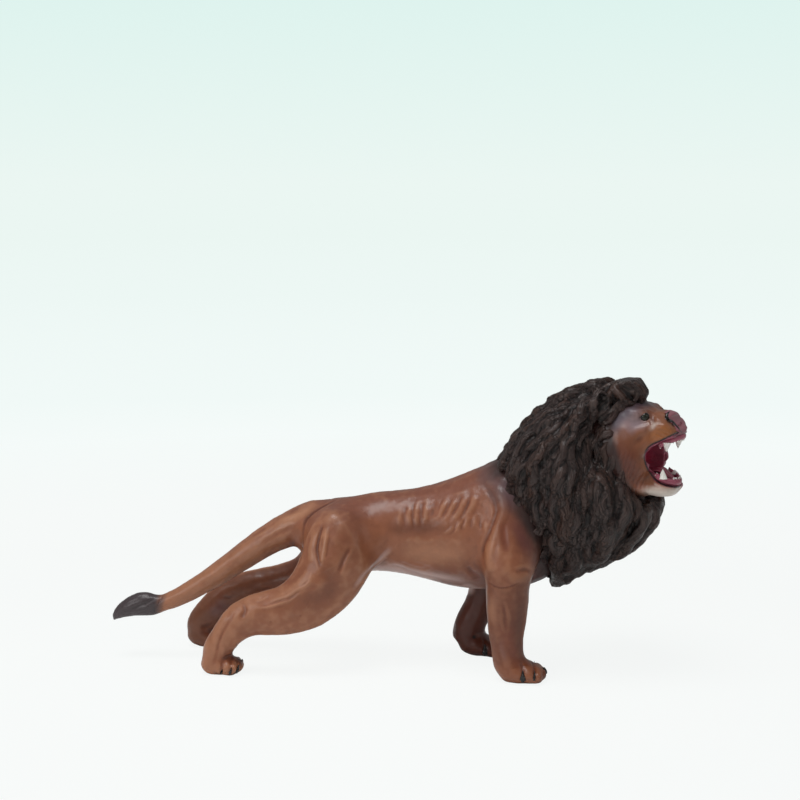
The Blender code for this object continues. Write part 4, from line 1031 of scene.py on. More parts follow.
def painted_vinyl(name, roughness, mottle, grain):
    """Vinyl that takes its colour from the paint on the vertices. The grain is a height in millimetres."""
    material, tree, shader = new_material(name)
    paint = add_node(tree, "Attribute", {"attribute_name": "paint"})
    place = add_node(tree, "TexCoord").outputs["Object"]
    cloud = add_node(tree, "TexNoise", Vector=place, Scale=mottle_scale, Detail=5.0, Roughness=0.62)
    level = add_node(tree, "MapRange", Value=cloud.outputs["Fac"], From_Min=0.3, From_Max=0.7)
    level.inputs["To Min"].default_value = 1.0 - mottle
    level.inputs["To Max"].default_value = 1.0 + mottle
    colour = add_node(tree, "VectorMath", {"operation": "SCALE"}, Vector=paint.outputs["Color"])
    tree.links.new(level.outputs["Result"], colour.inputs["Scale"])
    tree.links.new(colour.outputs["Vector"], shader.inputs["Base Color"])
    sheen = add_node(tree, "MapRange", Value=cloud.outputs["Fac"], From_Min=0.3, From_Max=0.7)
    sheen.inputs["To Min"].default_value = roughness - sheen_down
    sheen.inputs["To Max"].default_value = roughness + sheen_up
    tree.links.new(sheen.outputs["Result"], shader.inputs["Roughness"])
    fine = add_node(tree, "TexNoise", Vector=place, Scale=grain_scale, Detail=3.0, Roughness=0.6)
    bump = add_node(tree, "Bump", Height=fine.outputs["Fac"], Distance=grain * mm, Strength=0.5)
    tree.links.new(bump.outputs["Normal"], shader.inputs["Normal"])
    shader.inputs["Specular IOR Level"].default_value = vinyl_specular
    shader.inputs["Coat Weight"].default_value = vinyl_coat
    shader.inputs["Coat Roughness"].default_value = vinyl_coat_roughness
    return material


def painted(piece, material, sharp_angle=None):
    """Gives a piece its one material and a smooth look. Edges past the sharp angle stay crisp."""
    piece.data.materials.clear()
    piece.data.materials.append(material)
    piece.data.shade_smooth()
    if sharp_angle:
        piece.data.set_sharp_from_angle(angle=math.radians(sharp_angle))


seam_angle = 55.0
fur_vinyl = painted_vinyl("fur_vinyl", 0.38, 0.09, 0.05)
skin_lookup = KDTree(len(coat))
for index, place in enumerate(vertex_places(skin)):
    skin_lookup.insert(place, index)
skin_lookup.balance()
for node, piece in castings.items():
    nearest = [skin_lookup.find(place)[1] for place in vertex_places(piece)]
    set_paint(piece, coat[nearest])
    painted(piece, fur_vinyl, seam_angle)
    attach(piece, "root")
    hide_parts(node)

# %% [markdown]
# ## The head
# The head is one hollow casting with an open mouth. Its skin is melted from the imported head, nose and eyes,
# so that the muzzle runs on under the nose pad. It has a frame of its own: along the muzzle, across, and up
# from the chin. Strokes are traced from the photograph as on the body, and mirrored across the head's middle.

# %% The head's own frame
head_origin = Vector((82.93 * mm, -1.04 * mm, 0.0))
head_turn = math.radians(-25.0)
chin_height = 80.0
head_matrix = Matrix.Translation(head_origin) @ Matrix.Rotation(head_turn, 4, "Z")
head_ahead = (head_matrix.to_3x3() @ Vector((1.0, 0.0, 0.0))).normalized()
head_across = (head_matrix.to_3x3() @ Vector((0.0, 1.0, 0.0))).normalized()


def head_local(places):
    """Millimetres along the muzzle, across the head and up from the chin."""
    local = (np.asarray(places) - np.array(head_origin)) @ np.array(head_matrix.to_3x3())
    return local / mm - np.array([0.0, 0.0, chin_height])


def head_place(along, side, height):
    """The place in the scene that lies at these millimetres in the head's own frame."""
    return head_matrix @ Vector((along * mm, side * mm, (height + chin_height) * mm))


def across_head(place):
    """The same place on the other side of the head."""
    return place - head_across * 2 * (place - head_origin).dot(head_across)


probe_reach = 80


def seen_place(tree, pixel):
    """The place on the surface that lies closest to the line of sight through a pixel."""
    ahead = sight_line(*pixel)
    nearest = []
    for step in range(2 * probe_reach):
        probe = eye_point + ahead * (view_distance - probe_reach * mm + step * mm)
        place, _, _, distance = tree.find_nearest(probe)
        nearest.append((distance, step, place))
    return tree.ray_cast(eye_point, ahead)[0] or min(nearest)[2]


# %% The head's skin
eye_sink = 0.9
head_overlap = 0.15 * mm
head_voxel = 0.8 * mm
head_rounds = 26

form = bmesh.new()
for node in ("head", "nose"):
    form.from_mesh(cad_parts[node].data)
for node, way in (("right_eye", 1.0), ("left_eye", -1.0)):
    filler = casting_copy("filler", node)
    move_vertices(filler, vertex_places(filler) + np.array(head_across) * way * eye_sink * mm)
    form.from_mesh(filler.data)
    drop(filler)
bmesh.ops.remove_doubles(form, verts=form.verts, dist=weld_gap)
head = new_piece("head_skin", form)
puff(head, head_overlap)
melted(head, head_voxel)
even_out(head, head_rounds)
puff(head, -head_overlap)

# %% Chin, bridge and nose
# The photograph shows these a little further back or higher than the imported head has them. Each row of
# moves belongs to a row of places along the muzzle or up from the chin.
chin_from, chin_below, chin_line_below, chin_back = (30.0, 44.0), (-13.0, -3.0), (-8.0, 0.0), 2.6
chin_alongs = [26.0, 31.0, 36.0, 41.0, 43.5, 46.0, 48.8, 51.0]
chin_rises = [0.0, 2.2, 3.2, 2.1, 1.6, 1.0, 0.3, 1.0]
bridge_alongs, bridge_dips = [29.0, 33.0, 36.5, 39.0, 41.0], [0.0, 0.8, 1.6, 0.6, 0.0]
bridge_above = (36.0, 42.0)
nose_heights = [29.0, 31.0, 33.0, 35.0, 37.0, 39.0, 41.0]
nose_moves = [1.0, -0.2, -2.0, -3.7, -4.1, -1.9, 0.0]
nose_from, nose_above = (42.0, 50.0), (26.0, 29.0)

along, side, height = head_local(vertex_places(head)).T
chin = fade(along, *chin_from) * fade(-height, *chin_below)
chin_rise = np.interp(along, chin_alongs, chin_rises) * fade(-height, *chin_line_below)
bridge_dip = np.interp(along, bridge_alongs, bridge_dips) * fade(height, *bridge_above)
nose_push = np.interp(height, nose_heights, nose_moves)
nose_push = nose_push * fade(along, *nose_from) * fade(height, *nose_above)
places = vertex_places(head)
places += np.outer((nose_push - chin * chin_back) * mm, np.array(head_ahead))
places[:, 2] += (chin_rise - bridge_dip) * mm
move_vertices(head, places)
refined(head)
head_tree = tree_of(head)
print("head:", len(head.data.vertices), "vertices")

# %% Strokes on the face
brow_and_lids = [
    (-0.5, 4.0, [(632, 413), (640, 410.5), (648, 410.5), (653, 413)]),
    (0.7, 5.0, [(638, 417), (645, 417.5), (651, 418)]),
    (0.6, 3.5, [(650, 414), (653, 418), (653, 423)]),
    (-0.45, 1.6, [(640, 416), (643, 413.8), (647, 413.4), (651, 416)]),
    (-0.35, 1.5, [(641, 420), (645, 421.6), (650, 419.5)]),
    (0.35, 1.4, [(649, 420), (651, 423), (652, 427)]),
    (0.4, 5.0, [(655, 413), (662, 416), (666, 420)]),
]
cheek_and_muzzle = [
    (-0.4, 6.0, [(652, 426), (641, 430), (630, 437)]),
    (0.5, 5.0, [(648, 436), (640, 440), (632, 448)]),
    (-0.9, 7.0, [(655, 426), (665, 428), (673, 433)]),
    (0.5, 4.0, [(652, 430), (650, 437), (652, 441)]),
    (-0.5, 6.0, [(634, 455), (637, 470), (645, 483)]),
    (0.4, 4.0, [(628, 462), (632, 478), (642, 490)]),
    (-0.5, 5.0, [(655, 491), (665, 492), (676, 490)]),
    (0.35, 1.4, [(657, 430), (664, 432), (671, 436)]),
    (0.35, 1.4, [(656, 434), (662, 436), (667, 438)]),
    (0.80, 2.2, [(684, 420), (682, 422), (680.5, 425)]),
]
fur_root, fur_tip = (621, 452), (618, 462)
fur_step = (2.6, 5.6)
fur_rows, fur_steps, fur_row_gap = 3, 8, 5
cheek_fur = [
    (0.32, 1.2, [
        (fur_root[0] + step * fur_step[0] + row * fur_row_gap, fur_root[1] + step * fur_step[1] - row),
        (fur_tip[0] + step * fur_step[0] + row * fur_row_gap, fur_tip[1] + step * fur_step[1]),
    ])
    for step in range(fur_steps)
    for row in range(fur_rows)
]
face_strength = 1.0
press(head, head_tree, brow_and_lids + cheek_and_muzzle + cheek_fur, face_strength, [across_head])

# %% The lips
lip_pixels = [
    (688, 434), (679, 432.5), (668, 437), (660, 441), (652, 444.5), (647, 449), (645, 456), (646, 465),
    (651, 474), (657, 481), (664, 485), (674, 487), (684, 486),
]
lip_closing = [(720.0, 486.0), (720.0, 434.0)]


def near_pixels(places):
    """Where the camera sees each place, after the far half of the head is mirrored to the near side."""
    places = np.array(places)
    across = head_local(places)[:, 1]
    places -= np.outer(np.maximum(across, 0.0) * 2 * mm, np.array(head_across))
    local = (places - np.array(eye_point)) @ np.array(camera.matrix_world.to_3x3())
    return photo_width / 2 + focal_pixels * np.column_stack([local[:, 0], -local[:, 1]]) / -local[:, 2:]


def line_offset(places, pixels, closing):
    """Pixels from a line in the photograph, below zero on the side of the closing corners."""
    spots = near_pixels(places)
    line = np.array([tuple(point) for point in spaced(pixels)])
    gaps = np.linalg.norm(spots[:, None] - line[None], axis=2).min(axis=1)
    corners = np.vstack([line, closing])
    inside = np.zeros(len(spots), bool)
    for (x0, y0), (x1, y1) in zip(corners, np.roll(corners, -1, axis=0)):
        crosses = (y0 > spots[:, 1]) != (y1 > spots[:, 1])
        reach = x0 + (spots[:, 1] - y0) * (x1 - x0) / (y1 - y0 if y1 != y0 else 1.0)
        inside ^= crosses & (spots[:, 0] < reach)
    return np.where(inside, -gaps, gaps)


def lip_offset(obj):
    """Pixels from the lip line, below zero inside the open mouth."""
    return line_offset(vertex_places(obj), lip_pixels, lip_closing)


# %% The hairline on the head
hairline_pixels = [
    (650, 397), (645, 400), (635.5, 403), (627, 407.5), (619, 413.5), (613, 421), (611, 430),
    (612, 440), (616, 451), (620, 467), (626, 483), (633, 491), (641, 497), (651, 502),
]
hair_closing = [(650.0, 700.0), (500.0, 700.0), (500.0, 300.0), (650.0, 300.0)]
pixel_size = view_span / photo_width / mm


def behind_hairline(places):
    """How far places on the head lie behind the hairline, in millimetres. In front it is below zero."""
    return -line_offset(places, hairline_pixels, hair_closing) * pixel_size


# %% Corners of the mouth
# Reaches are in pixels of the photograph, with a minus sign: no move at the first, all of it at the second.
corner_pixel = (649.0, 471.0)
corner_reach, corner_beside = (-15.0, -3.0), (2.0, 5.0)
corner_ahead, corner_up = 1.7 * mm, 0.7 * mm
far_wall_pixel = (652.0, 457.0)
far_wall_reach, far_wall_beyond = (-17.0, -6.8), (3.0, 7.0)
far_wall_ahead = 2.4 * mm


def pixel_gap(places, pixel):
    """How far the places are from a pixel of the photograph, on either half of the head."""
    return np.linalg.norm(near_pixels(places) - np.array(pixel), axis=1)


def far_wall_moved(places):
    """Brings the mouth's far corner forward, so that the throat's wall shows behind the near lips."""
    tug = fade(-pixel_gap(places, far_wall_pixel), *far_wall_reach)
    tug = tug * fade(head_local(places)[:, 1], *far_wall_beyond)
    return places + np.outer(tug * far_wall_ahead, np.array(head_ahead))


places = far_wall_moved(vertex_places(head))
tug = fade(-pixel_gap(places, corner_pixel), *corner_reach)
tug = tug * fade(np.abs(head_local(places)[:, 1]), *corner_beside)
places += np.outer(tug * corner_ahead, np.array(head_ahead))
places[:, 2] += tug * corner_up
move_vertices(head, places)

# %% Lip bead
lip_bead_height = 0.30 * mm
lip_from, lip_beside = (30.0, 33.0), (2.0, 5.0)
bead_middle, bead_reach = 2.0, (-2.5, -0.5)

offset = lip_offset(head)
along, side, height = head_local(vertex_places(head)).T
lip_zone = fade(along, *lip_from) * fade(np.abs(side), *lip_beside)
lip_bead = fade(-np.abs(offset - bead_middle), *bead_reach) * lip_zone
move_vertices(head, vertex_places(head) + vertex_normals(head) * (lip_bead * lip_bead_height)[:, None])

# %% The face's colours
face_tone = tone(136, 84, 58)
forehead_tone = tone(112, 66, 48)
orange_tone = tone(166, 100, 50)
grey_mauve_tone = tone(150, 132, 138)
# Painted highlight: pale spots on the muzzle and beside the eye.
pale_highlight_tone = tone(205, 186, 176)
# A red-brown that is partly the cheek's own colour and partly painted shade near the mane and under the jaw.
cheek_shade_tone = tone(98, 46, 30)
jaw_tone = tone(160, 98, 76)
cream_tone = tone(222, 208, 196)
gum_tone = tone(164, 84, 102)
nose_tone = tone(150, 88, 98)
throat_tone = tone(225, 96, 130)
throat_shade_tone = tone(150, 46, 74)
tongue_tone = tone(152, 66, 84)
hair_edge_tone = tone(54, 31, 27)
smoke_tone = tone(72, 68, 80)

face_spray = [
    (grey_mauve_tone, 0.9, 13.0, [(604, 430), (612, 424), (622, 418), (633, 413), (644, 414)]),
    (grey_mauve_tone, 0.8, 9.0, [(626, 432), (636, 424), (648, 424)]),
    (orange_tone, 0.9, 9.0, [(655, 432), (664, 431), (673, 431)]),
    (orange_tone, 0.7, 8.0, [(648, 438), (655, 436), (664, 434)]),
    (forehead_tone, 0.8, 7.0, [(640, 402), (650, 405), (661, 409), (667, 411)]),
    (pale_highlight_tone, 0.7, 3.2, [(651, 429), (655, 425), (659, 423)]),
    (pale_highlight_tone, 0.5, 2.0, [(651, 419), (653, 423), (652, 428)]),
    (forehead_tone, 0.7, 2.0, [(647, 424), (646, 429), (645, 433)]),
    (face_tone, 0.8, 12.0, [(640, 448), (638, 462), (645, 480)]),
    (cheek_shade_tone, 0.9, 19.0, [(617, 440), (622, 458), (628, 474), (636, 488)]),
    (cheek_shade_tone, 0.5, 10.0, [(634, 447), (632, 464), (638, 480)]),
    (jaw_tone, 0.8, 7.0, [(636, 484), (643, 491), (652, 495)]),
    (black_tone, 1.0, 2.6, [
        (667, 412.5), (666.2, 416.5), (667.8, 420.3), (671.6, 422.4), (678, 429.4),
    ]),
    (black_tone, 1.0, 2.2, [(640.5, 418), (645, 417.4), (650.5, 417.6)]),
    (black_tone, 0.8, 1.2, [(649, 418), (652, 419.5), (654, 421.5)]),
]
forehead_above, cheek_behind, cheek_below = (39.0, 43.0), (-30.0, -18.0), (-34.0, -26.0)
face_rounds, face_hollows = 40, (0.03, 0.35)
smoke_reach, smoke_above = (-6.0, -1.0), (28.0, 34.0)
hair_edge_start, hair_edge_full, hair_edge_above = -2.6, 0.8, (30.0, 36.0)
cream_from, cream_below = (32.0, 39.0), (-8.5, -5.0)

along, side, height = head_local(vertex_places(head)).T
face_coat = np.tile(np.array(face_tone), (len(along), 1))
face_coat = blended(face_coat, forehead_tone, fade(height, *forehead_above) * 0.8)
# Red-brown low on the rear of the head, partly painted shade.
face_coat = blended(face_coat, cheek_shade_tone, fade(-along, *cheek_behind) * fade(-height, *cheek_below))
# Painted shade in the face's hollows.
face_coat = blended(face_coat, shade_tone, fade(hollowness(head, face_rounds), *face_hollows) * 0.6)
face_coat = airbrush(head, head_tree, face_coat, face_spray, [across_head])
behind = behind_hairline(vertex_places(head))
smoke_zone = fade(behind, *smoke_reach) * fade(height, *smoke_above)
face_coat = blended(face_coat, smoke_tone, smoke_zone * 0.8)
hair_edge = fade(behind, hair_edge_start + fade(height, *hair_edge_above), hair_edge_full)
face_coat = blended(face_coat, hair_edge_tone, hair_edge * 0.97)
face_coat = blended(face_coat, cream_tone, fade(along, *cream_from) * fade(-height, *cream_below) * 0.95)

# %% Gums, lip line and nose on the skin
# What faces the mouth is gum: the cut faces of both jaws, and the wall behind the lip line. The line itself
# is black. The far side of the nose is mauve, where the pad ends.
mouth_from, mouth_below, cut_from = (29.0, 32.0), (-36.0, -32.0), (33.0, 36.0)
level_slant, steep_slant, cut_slant = (0.45, 0.75), (-0.6, -0.3), (0.0, 0.4)
upper_above, lower_below = (18.0, 20.0), (-17.0, -14.0)
inside_lip, inner_slant, inner_reach = (-0.3, 0.6), (0.1, 0.45), (-6.0, -3.0)
rim_beyond, rim_slant, rim_reach = (1.0, 4.0), (-0.45, -0.15), (-5.0, -2.0)
line_reach, line_slant = (-1.3, -0.6), (-0.45, -0.10)
far_pad_beyond, far_pad_from, far_pad_above = (0.5, 2.0), (40.0, 43.0), (30.5, 32.0)

normals = vertex_normals(head)
upward, across = normals[:, 2], normals @ np.array(head_across)
offset = lip_offset(head)
mouth_zone = fade(along, *mouth_from) * fade(-height, *mouth_below)
level_face = fade(np.abs(upward), *level_slant) * fade(-np.abs(across), *steep_slant)
upper_cut = level_face * fade(-upward, *cut_slant) * fade(height, *upper_above)
lower_cut = level_face * fade(upward, *cut_slant) * fade(-height, *lower_below)
face_coat = blended(face_coat, gum_tone, (upper_cut + lower_cut) * mouth_zone * fade(along, *cut_from))
face_coat = blended(face_coat, gum_tone, fade(-offset, *inside_lip) * mouth_zone)
outward = across * np.sign(side)
inner_wall = fade(-outward, *inner_slant) * mouth_zone * fade(-offset, *inner_reach)
face_coat = blended(face_coat, gum_tone, inner_wall)
far_rim = fade(side, *rim_beyond) * fade(-outward, *rim_slant) * fade(-offset, *rim_reach)
face_coat = blended(face_coat, gum_tone, far_rim * mouth_zone)
lip_line = fade(-np.abs(offset), *line_reach) * fade(outward, *line_slant) * (1.0 - far_rim)
face_coat = blended(face_coat, black_tone, lip_line * mouth_zone)
far_pad = fade(side, *far_pad_beyond) * fade(along, *far_pad_from) * fade(height, *far_pad_above)
face_coat = blended(face_coat, nose_tone, far_pad)
set_paint(head, face_coat)
face_vinyl = painted_vinyl("face_vinyl", 0.36, 0.07, 0.04)
painted(head, face_vinyl)
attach(head, "root")
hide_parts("head")

# %% [markdown]
# ## Nose pad and eyes
# The nose pad is a thin cap of the head's own skin, cut out with its outline and puffed up by a hair, with a
# raised black line behind it on the near side. The eyes are glossy beads, sunk into the skin between lids.

# %% Nose pad
pad_pixels = [
    (671.5, 410.5), (668, 413), (666.8, 416.5), (668.2, 419.7), (671.8, 421.7), (675, 425), (678.2, 428.6),
    (680.8, 431.8), (686, 434.2),
]
pad_puff = 0.22 * mm
pad_cut_ahead, pad_cut_top, pad_cut_half, pad_cut_drop = 70.0, 60.0, 30.0, 2.0

pad_edge = [head_local([seen_place(head_tree, pixel)])[0] for pixel in pad_pixels]
pad_outline = [(pad_edge[0][0], pad_cut_top)]
pad_outline += [(float(point[0]), float(point[2])) for point in pad_edge]
pad_outline += [(pad_cut_ahead, pad_edge[-1][2] - pad_cut_drop), (pad_cut_ahead, pad_cut_top)]
cutter = prism("pad_cutter", pad_outline, -pad_cut_half, pad_cut_half)
cutter.data.transform(head_matrix @ Matrix.Translation((0.0, 0.0, chin_height * mm)))
nose_pad = bpy.data.objects.new("nose_pad", head.data.copy())
bpy.context.scene.collection.objects.link(nose_pad)
puff(nose_pad, pad_puff)
largest_body(combine(nose_pad, cutter, "INTERSECT"))
drop(cutter)

nose_highlight_tone = tone(152, 94, 104)
nose_shade_tone = tone(84, 44, 54)
pad_highlight_slant, pad_shade_slant, pad_angle = (0.2, 0.8), (0.0, 0.6), 60.0

# The pad is painted lighter where it faces up and darker where it faces down: painted highlight and painted
# shade.
upward = vertex_normals(nose_pad)[:, 2]
pad_coat = np.tile(np.array(nose_tone), (len(upward), 1))
pad_coat = blended(pad_coat, nose_highlight_tone, fade(upward, *pad_highlight_slant) * 0.8)
pad_coat = blended(pad_coat, nose_shade_tone, fade(-upward, *pad_shade_slant) * 0.7)
pad_rim = [(black_tone, 1.0, 1.1, pad_pixels[1:])]
pad_coat = airbrush(nose_pad, tree_of(nose_pad), pad_coat, pad_rim)
set_paint(nose_pad, pad_coat)
nose_paint = painted_vinyl("nose_paint", 0.38, 0.06, 0.06)
painted(nose_pad, nose_paint, pad_angle)
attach(nose_pad, "root")
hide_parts("nose")

# %% Nose line
thinnest, thin_power = 0.25, 0.4


def tube_along(name, path, radius, sides=8):
    """A round line that follows the path and thins out at both ends."""
    form = bmesh.new()
    count = len(path)
    for row, ring in enumerate(drawn_out(form, round_profile(sides), count)):
        ahead = (path[min(row + 1, count - 1)] - path[max(row - 1, 0)]).normalized()
        turn = ahead.to_track_quat("Z", "Y").to_matrix()
        thin = max(thinnest, math.sin(math.pi * (row + 0.5) / count) ** thin_power)
        for vertex in ring:
            vertex.co = path[row] + turn @ (vertex.co * radius * thin)
    bmesh.ops.recalc_face_normals(form, faces=form.faces[:])
    return new_piece(name, form)


nose_line_pixels = [(671.5, 410.8)] + pad_pixels[1:]
nose_line_radius, nose_line_sink = 0.95 * mm, 0.30 * mm
path = traced(head_tree, nose_line_pixels)
line = [Vector(place) - head_tree.find_nearest(place)[1] * nose_line_sink for place in path]
piece = tube_along("nose_line", line, nose_line_radius)


def clouded(tree, shader, colour, scale, detail, depth):
    """Feeds a shader a colour that grows darker and lighter in small clouds, by a share of its depth."""
    place = add_node(tree, "TexCoord").outputs["Object"]
    cloud = add_node(tree, "TexNoise", Vector=place, Scale=scale, Detail=detail)
    level = add_node(tree, "MapRange", Value=cloud.outputs["Fac"])
    level.inputs["To Min"].default_value = 1.0 - depth
    level.inputs["To Max"].default_value = 1.0 + depth
    shade = add_node(tree, "VectorMath", {"operation": "SCALE"}, Vector=colour)
    tree.links.new(level.outputs["Result"], shade.inputs["Scale"])
    tree.links.new(shade.outputs["Vector"], shader.inputs["Base Color"])


black_roughness, black_coat = 0.30, 0.3
black_cloud_scale, black_cloud_detail, black_cloud_depth = 700.0, 3.0, 0.18
black_paint, tree, shader = new_material("black_paint")
clouded(tree, shader, black_tone, black_cloud_scale, black_cloud_detail, black_cloud_depth)
shader.inputs["Roughness"].default_value = black_roughness
shader.inputs["Coat Weight"].default_value = black_coat
painted(piece, black_paint)
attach(piece, "root")

# %% Eyes
eye_pixel = (645.4, 417.4)
eye_radius = 2.2 * mm
eye_bulge = 0.62 * mm
eye_columns, eye_rows = 48, 32
pupil_edge, iris_edge = (10.0, 16.0), (-40.0, -32.0)
olive_tone = tone(34, 36, 22)
eye_dark_tone = tone(14, 13, 12)
speck_scale, speck_detail, speck_depth = 2500.0, 2.0, 0.15

eye_paint, tree, shader = new_material("eye_paint")
iris = add_node(tree, "Attribute", {"attribute_name": "paint"})
clouded(tree, shader, iris.outputs["Color"], speck_scale, speck_detail, speck_depth)
shader.inputs["Roughness"].default_value = 0.20
shader.inputs["Specular IOR Level"].default_value = 0.35
shader.inputs["Coat Weight"].default_value = 0.25
shader.inputs["Coat Roughness"].default_value = 0.05

near_eye, near_normal = head_tree.ray_cast(eye_point, sight_line(*eye_pixel))[:2]
far_eye = Vector(moved(head_tree, [near_eye], across_head)[0])
far_normal = near_normal - head_across * 2 * near_normal.dot(head_across)
for node, place, outward in (("right_eye", near_eye, near_normal), ("left_eye", far_eye, far_normal)):
    form = bmesh.new()
    centre = place - outward * (eye_radius - eye_bulge)
    bmesh.ops.create_uvsphere(
        form, u_segments=eye_columns, v_segments=eye_rows, radius=eye_radius,
        matrix=Matrix.Translation(centre),
    )
    eye = new_piece(node + "_bead", form)
    facing = vertex_normals(eye) @ np.array(outward)
    off_axis = np.degrees(np.arccos(np.clip(facing, -1.0, 1.0)))
    eye_coat = np.tile(np.array(eye_dark_tone), (len(off_axis), 1))
    eye_coat = blended(eye_coat, olive_tone, fade(off_axis, *pupil_edge) * fade(-off_axis, *iris_edge))
    set_paint(eye, eye_coat)
    painted(eye, eye_paint)
    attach(eye, "root")
    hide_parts(node)

# %% [markdown]
# ## Mouth, tongue and teeth
# A separate lining closes the throat behind the lips, in pink that is painted maroon further in as painted
# shade. The tongue lies on its floor. Each gum is a small circle spun into a horseshoe. The teeth are cones
# that stand on it:
# two canines, a row of small incisors between them and a cheek tooth behind each canine.

# %% Lining and tongue
mouth_voxel = 0.45 * mm
lining_rounds, tongue_rounds = 10, 16
throat_behind, shade_behind = (-34.0, -27.0), (-17.0, -10.0)
furrow_beside, furrow_slant, furrow_depth = (-0.9, 0.0), (0.3, 0.8), 0.35
tongue_root_behind, furrow_tint = (-36.0, -28.0), (0.1, 0.35)

lining = casting_copy("throat", "mouth_lining")
melted(lining, mouth_voxel)
even_out(lining, lining_rounds)
move_vertices(lining, far_wall_moved(vertex_places(lining)))
along, side, height = head_local(vertex_places(lining)).T
lining_coat = np.tile(np.array(gum_tone), (len(along), 1))
lining_coat = blended(lining_coat, throat_tone, fade(-along, *throat_behind) * 0.9)
# Painted shade deep in the throat.
lining_coat = blended(lining_coat, throat_shade_tone, fade(-along, *shade_behind))

tongue = casting_copy("tongue_skin", "tongue")
melted(tongue, mouth_voxel)
even_out(tongue, tongue_rounds)
along, side, height = head_local(vertex_places(tongue)).T
furrow = fade(-np.abs(side), *furrow_beside) * fade(vertex_normals(tongue)[:, 2], *furrow_slant)
furrow = furrow * furrow_depth * mm
places = vertex_places(tongue)
places[:, 2] -= furrow
move_vertices(tongue, places)
tongue_coat = np.tile(np.array(tongue_tone), (len(along), 1))
tongue_coat = blended(tongue_coat, throat_tone, fade(-along, *tongue_root_behind) * 0.8)
tongue_coat = blended(tongue_coat, throat_tone, fade(furrow / mm, *furrow_tint) * 0.6)

mouth_paint = painted_vinyl("mouth_paint", 0.24, 0.10, 0.06)
for piece, node, colours in ((lining, "mouth_lining", lining_coat), (tongue, "tongue", tongue_coat)):
    set_paint(piece, colours)
    painted(piece, mouth_paint)
    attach(piece, "root")
    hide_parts(node)

# %% Gums and teeth
# The mouth line is the edge of the open mouth from the side: millimetres along the muzzle and up from the
# chin. Angles are in degrees round the horseshoe, from its front.
mouth_line = [
    (54.0, 30.0), (48.0, 29.5), (44.0, 28.0), (40.0, 25.8), (36.5, 23.8), (34.5, 21.0), (35.0, 16.5),
    (37.0, 13.0), (39.5, 10.5), (44.0, 8.3), (48.5, 7.1), (54.0, 7.0),
]
gum_fronts = {"upper_teeth": 48.3, "lower_teeth": 46.9}
gum_rises = {"upper_teeth": 1.25, "lower_teeth": 1.35}
gum_depth, gum_half, gum_thick, gum_sunk = 7.5, 8.0, 0.9, 0.9
gum_sides, gum_steps = 14, 40
corner = min(range(len(mouth_line)), key=lambda place: mouth_line[place][0])
upper_lip = np.array(mouth_line[: corner + 1][::-1])
lower_lip = np.array(mouth_line[corner:])
tooth_tone = tone(250, 245, 238)
canine_angle, canine_root = 68.0, 1.85
canine_lengths = {"upper_teeth": {-1.0: 4.1, 1.0: 4.8}, "lower_teeth": {-1.0: 4.3, 1.0: 1.8}}
cheek_tooth_angle, cheek_tooth_root, cheek_tooth_length = 88.0, 0.8, 1.5
incisor_angles = (6.0, 18.0, 31.0)
incisor_root = 0.65
incisor_lengths = {"upper_teeth": 1.9, "lower_teeth": 2.0}
tooth_lean, tooth_power = -0.03, 0.8
tooth_along_share, tooth_across_share = 1.1, 0.9
tooth_columns, tooth_rows, pole_radius = 16, 14, 1e-4


def gum_place(angle, node, lip, way):
    """A place on the horseshoe of a gum, at an angle round it from the front, in the head's own frame."""
    swing = math.radians(angle)
    along = gum_fronts[node] - gum_depth * (1.0 - math.cos(swing))
    height = float(np.interp(along, lip[:, 0], lip[:, 1])) + way * gum_rises[node]
    return along, gum_half * math.sin(swing), height


def add_tooth(form, angle, root, length, node, lip, way):
    """A ball drawn out into a pointed cone, which stands in the gum and leans back a little."""
    along, side, height = gum_place(angle, node, lip, way)
    ball = bmesh.ops.create_uvsphere(
        form, u_segments=tooth_columns, v_segments=tooth_rows, radius=1.0
    )["verts"]
    for vertex in ball:
        x, y, z = vertex.co
        share = (z + 1.0) / 2.0
        radius = math.hypot(x, y)
        grow = root * (1.0 - share) ** tooth_power / radius if radius > pole_radius else 0.0
        lean = tooth_lean * length * share**2
        vertex.co = head_place(
            along + x * grow * tooth_along_share + lean,
            side + y * grow * tooth_across_share,
            height + way * share * length,
        )


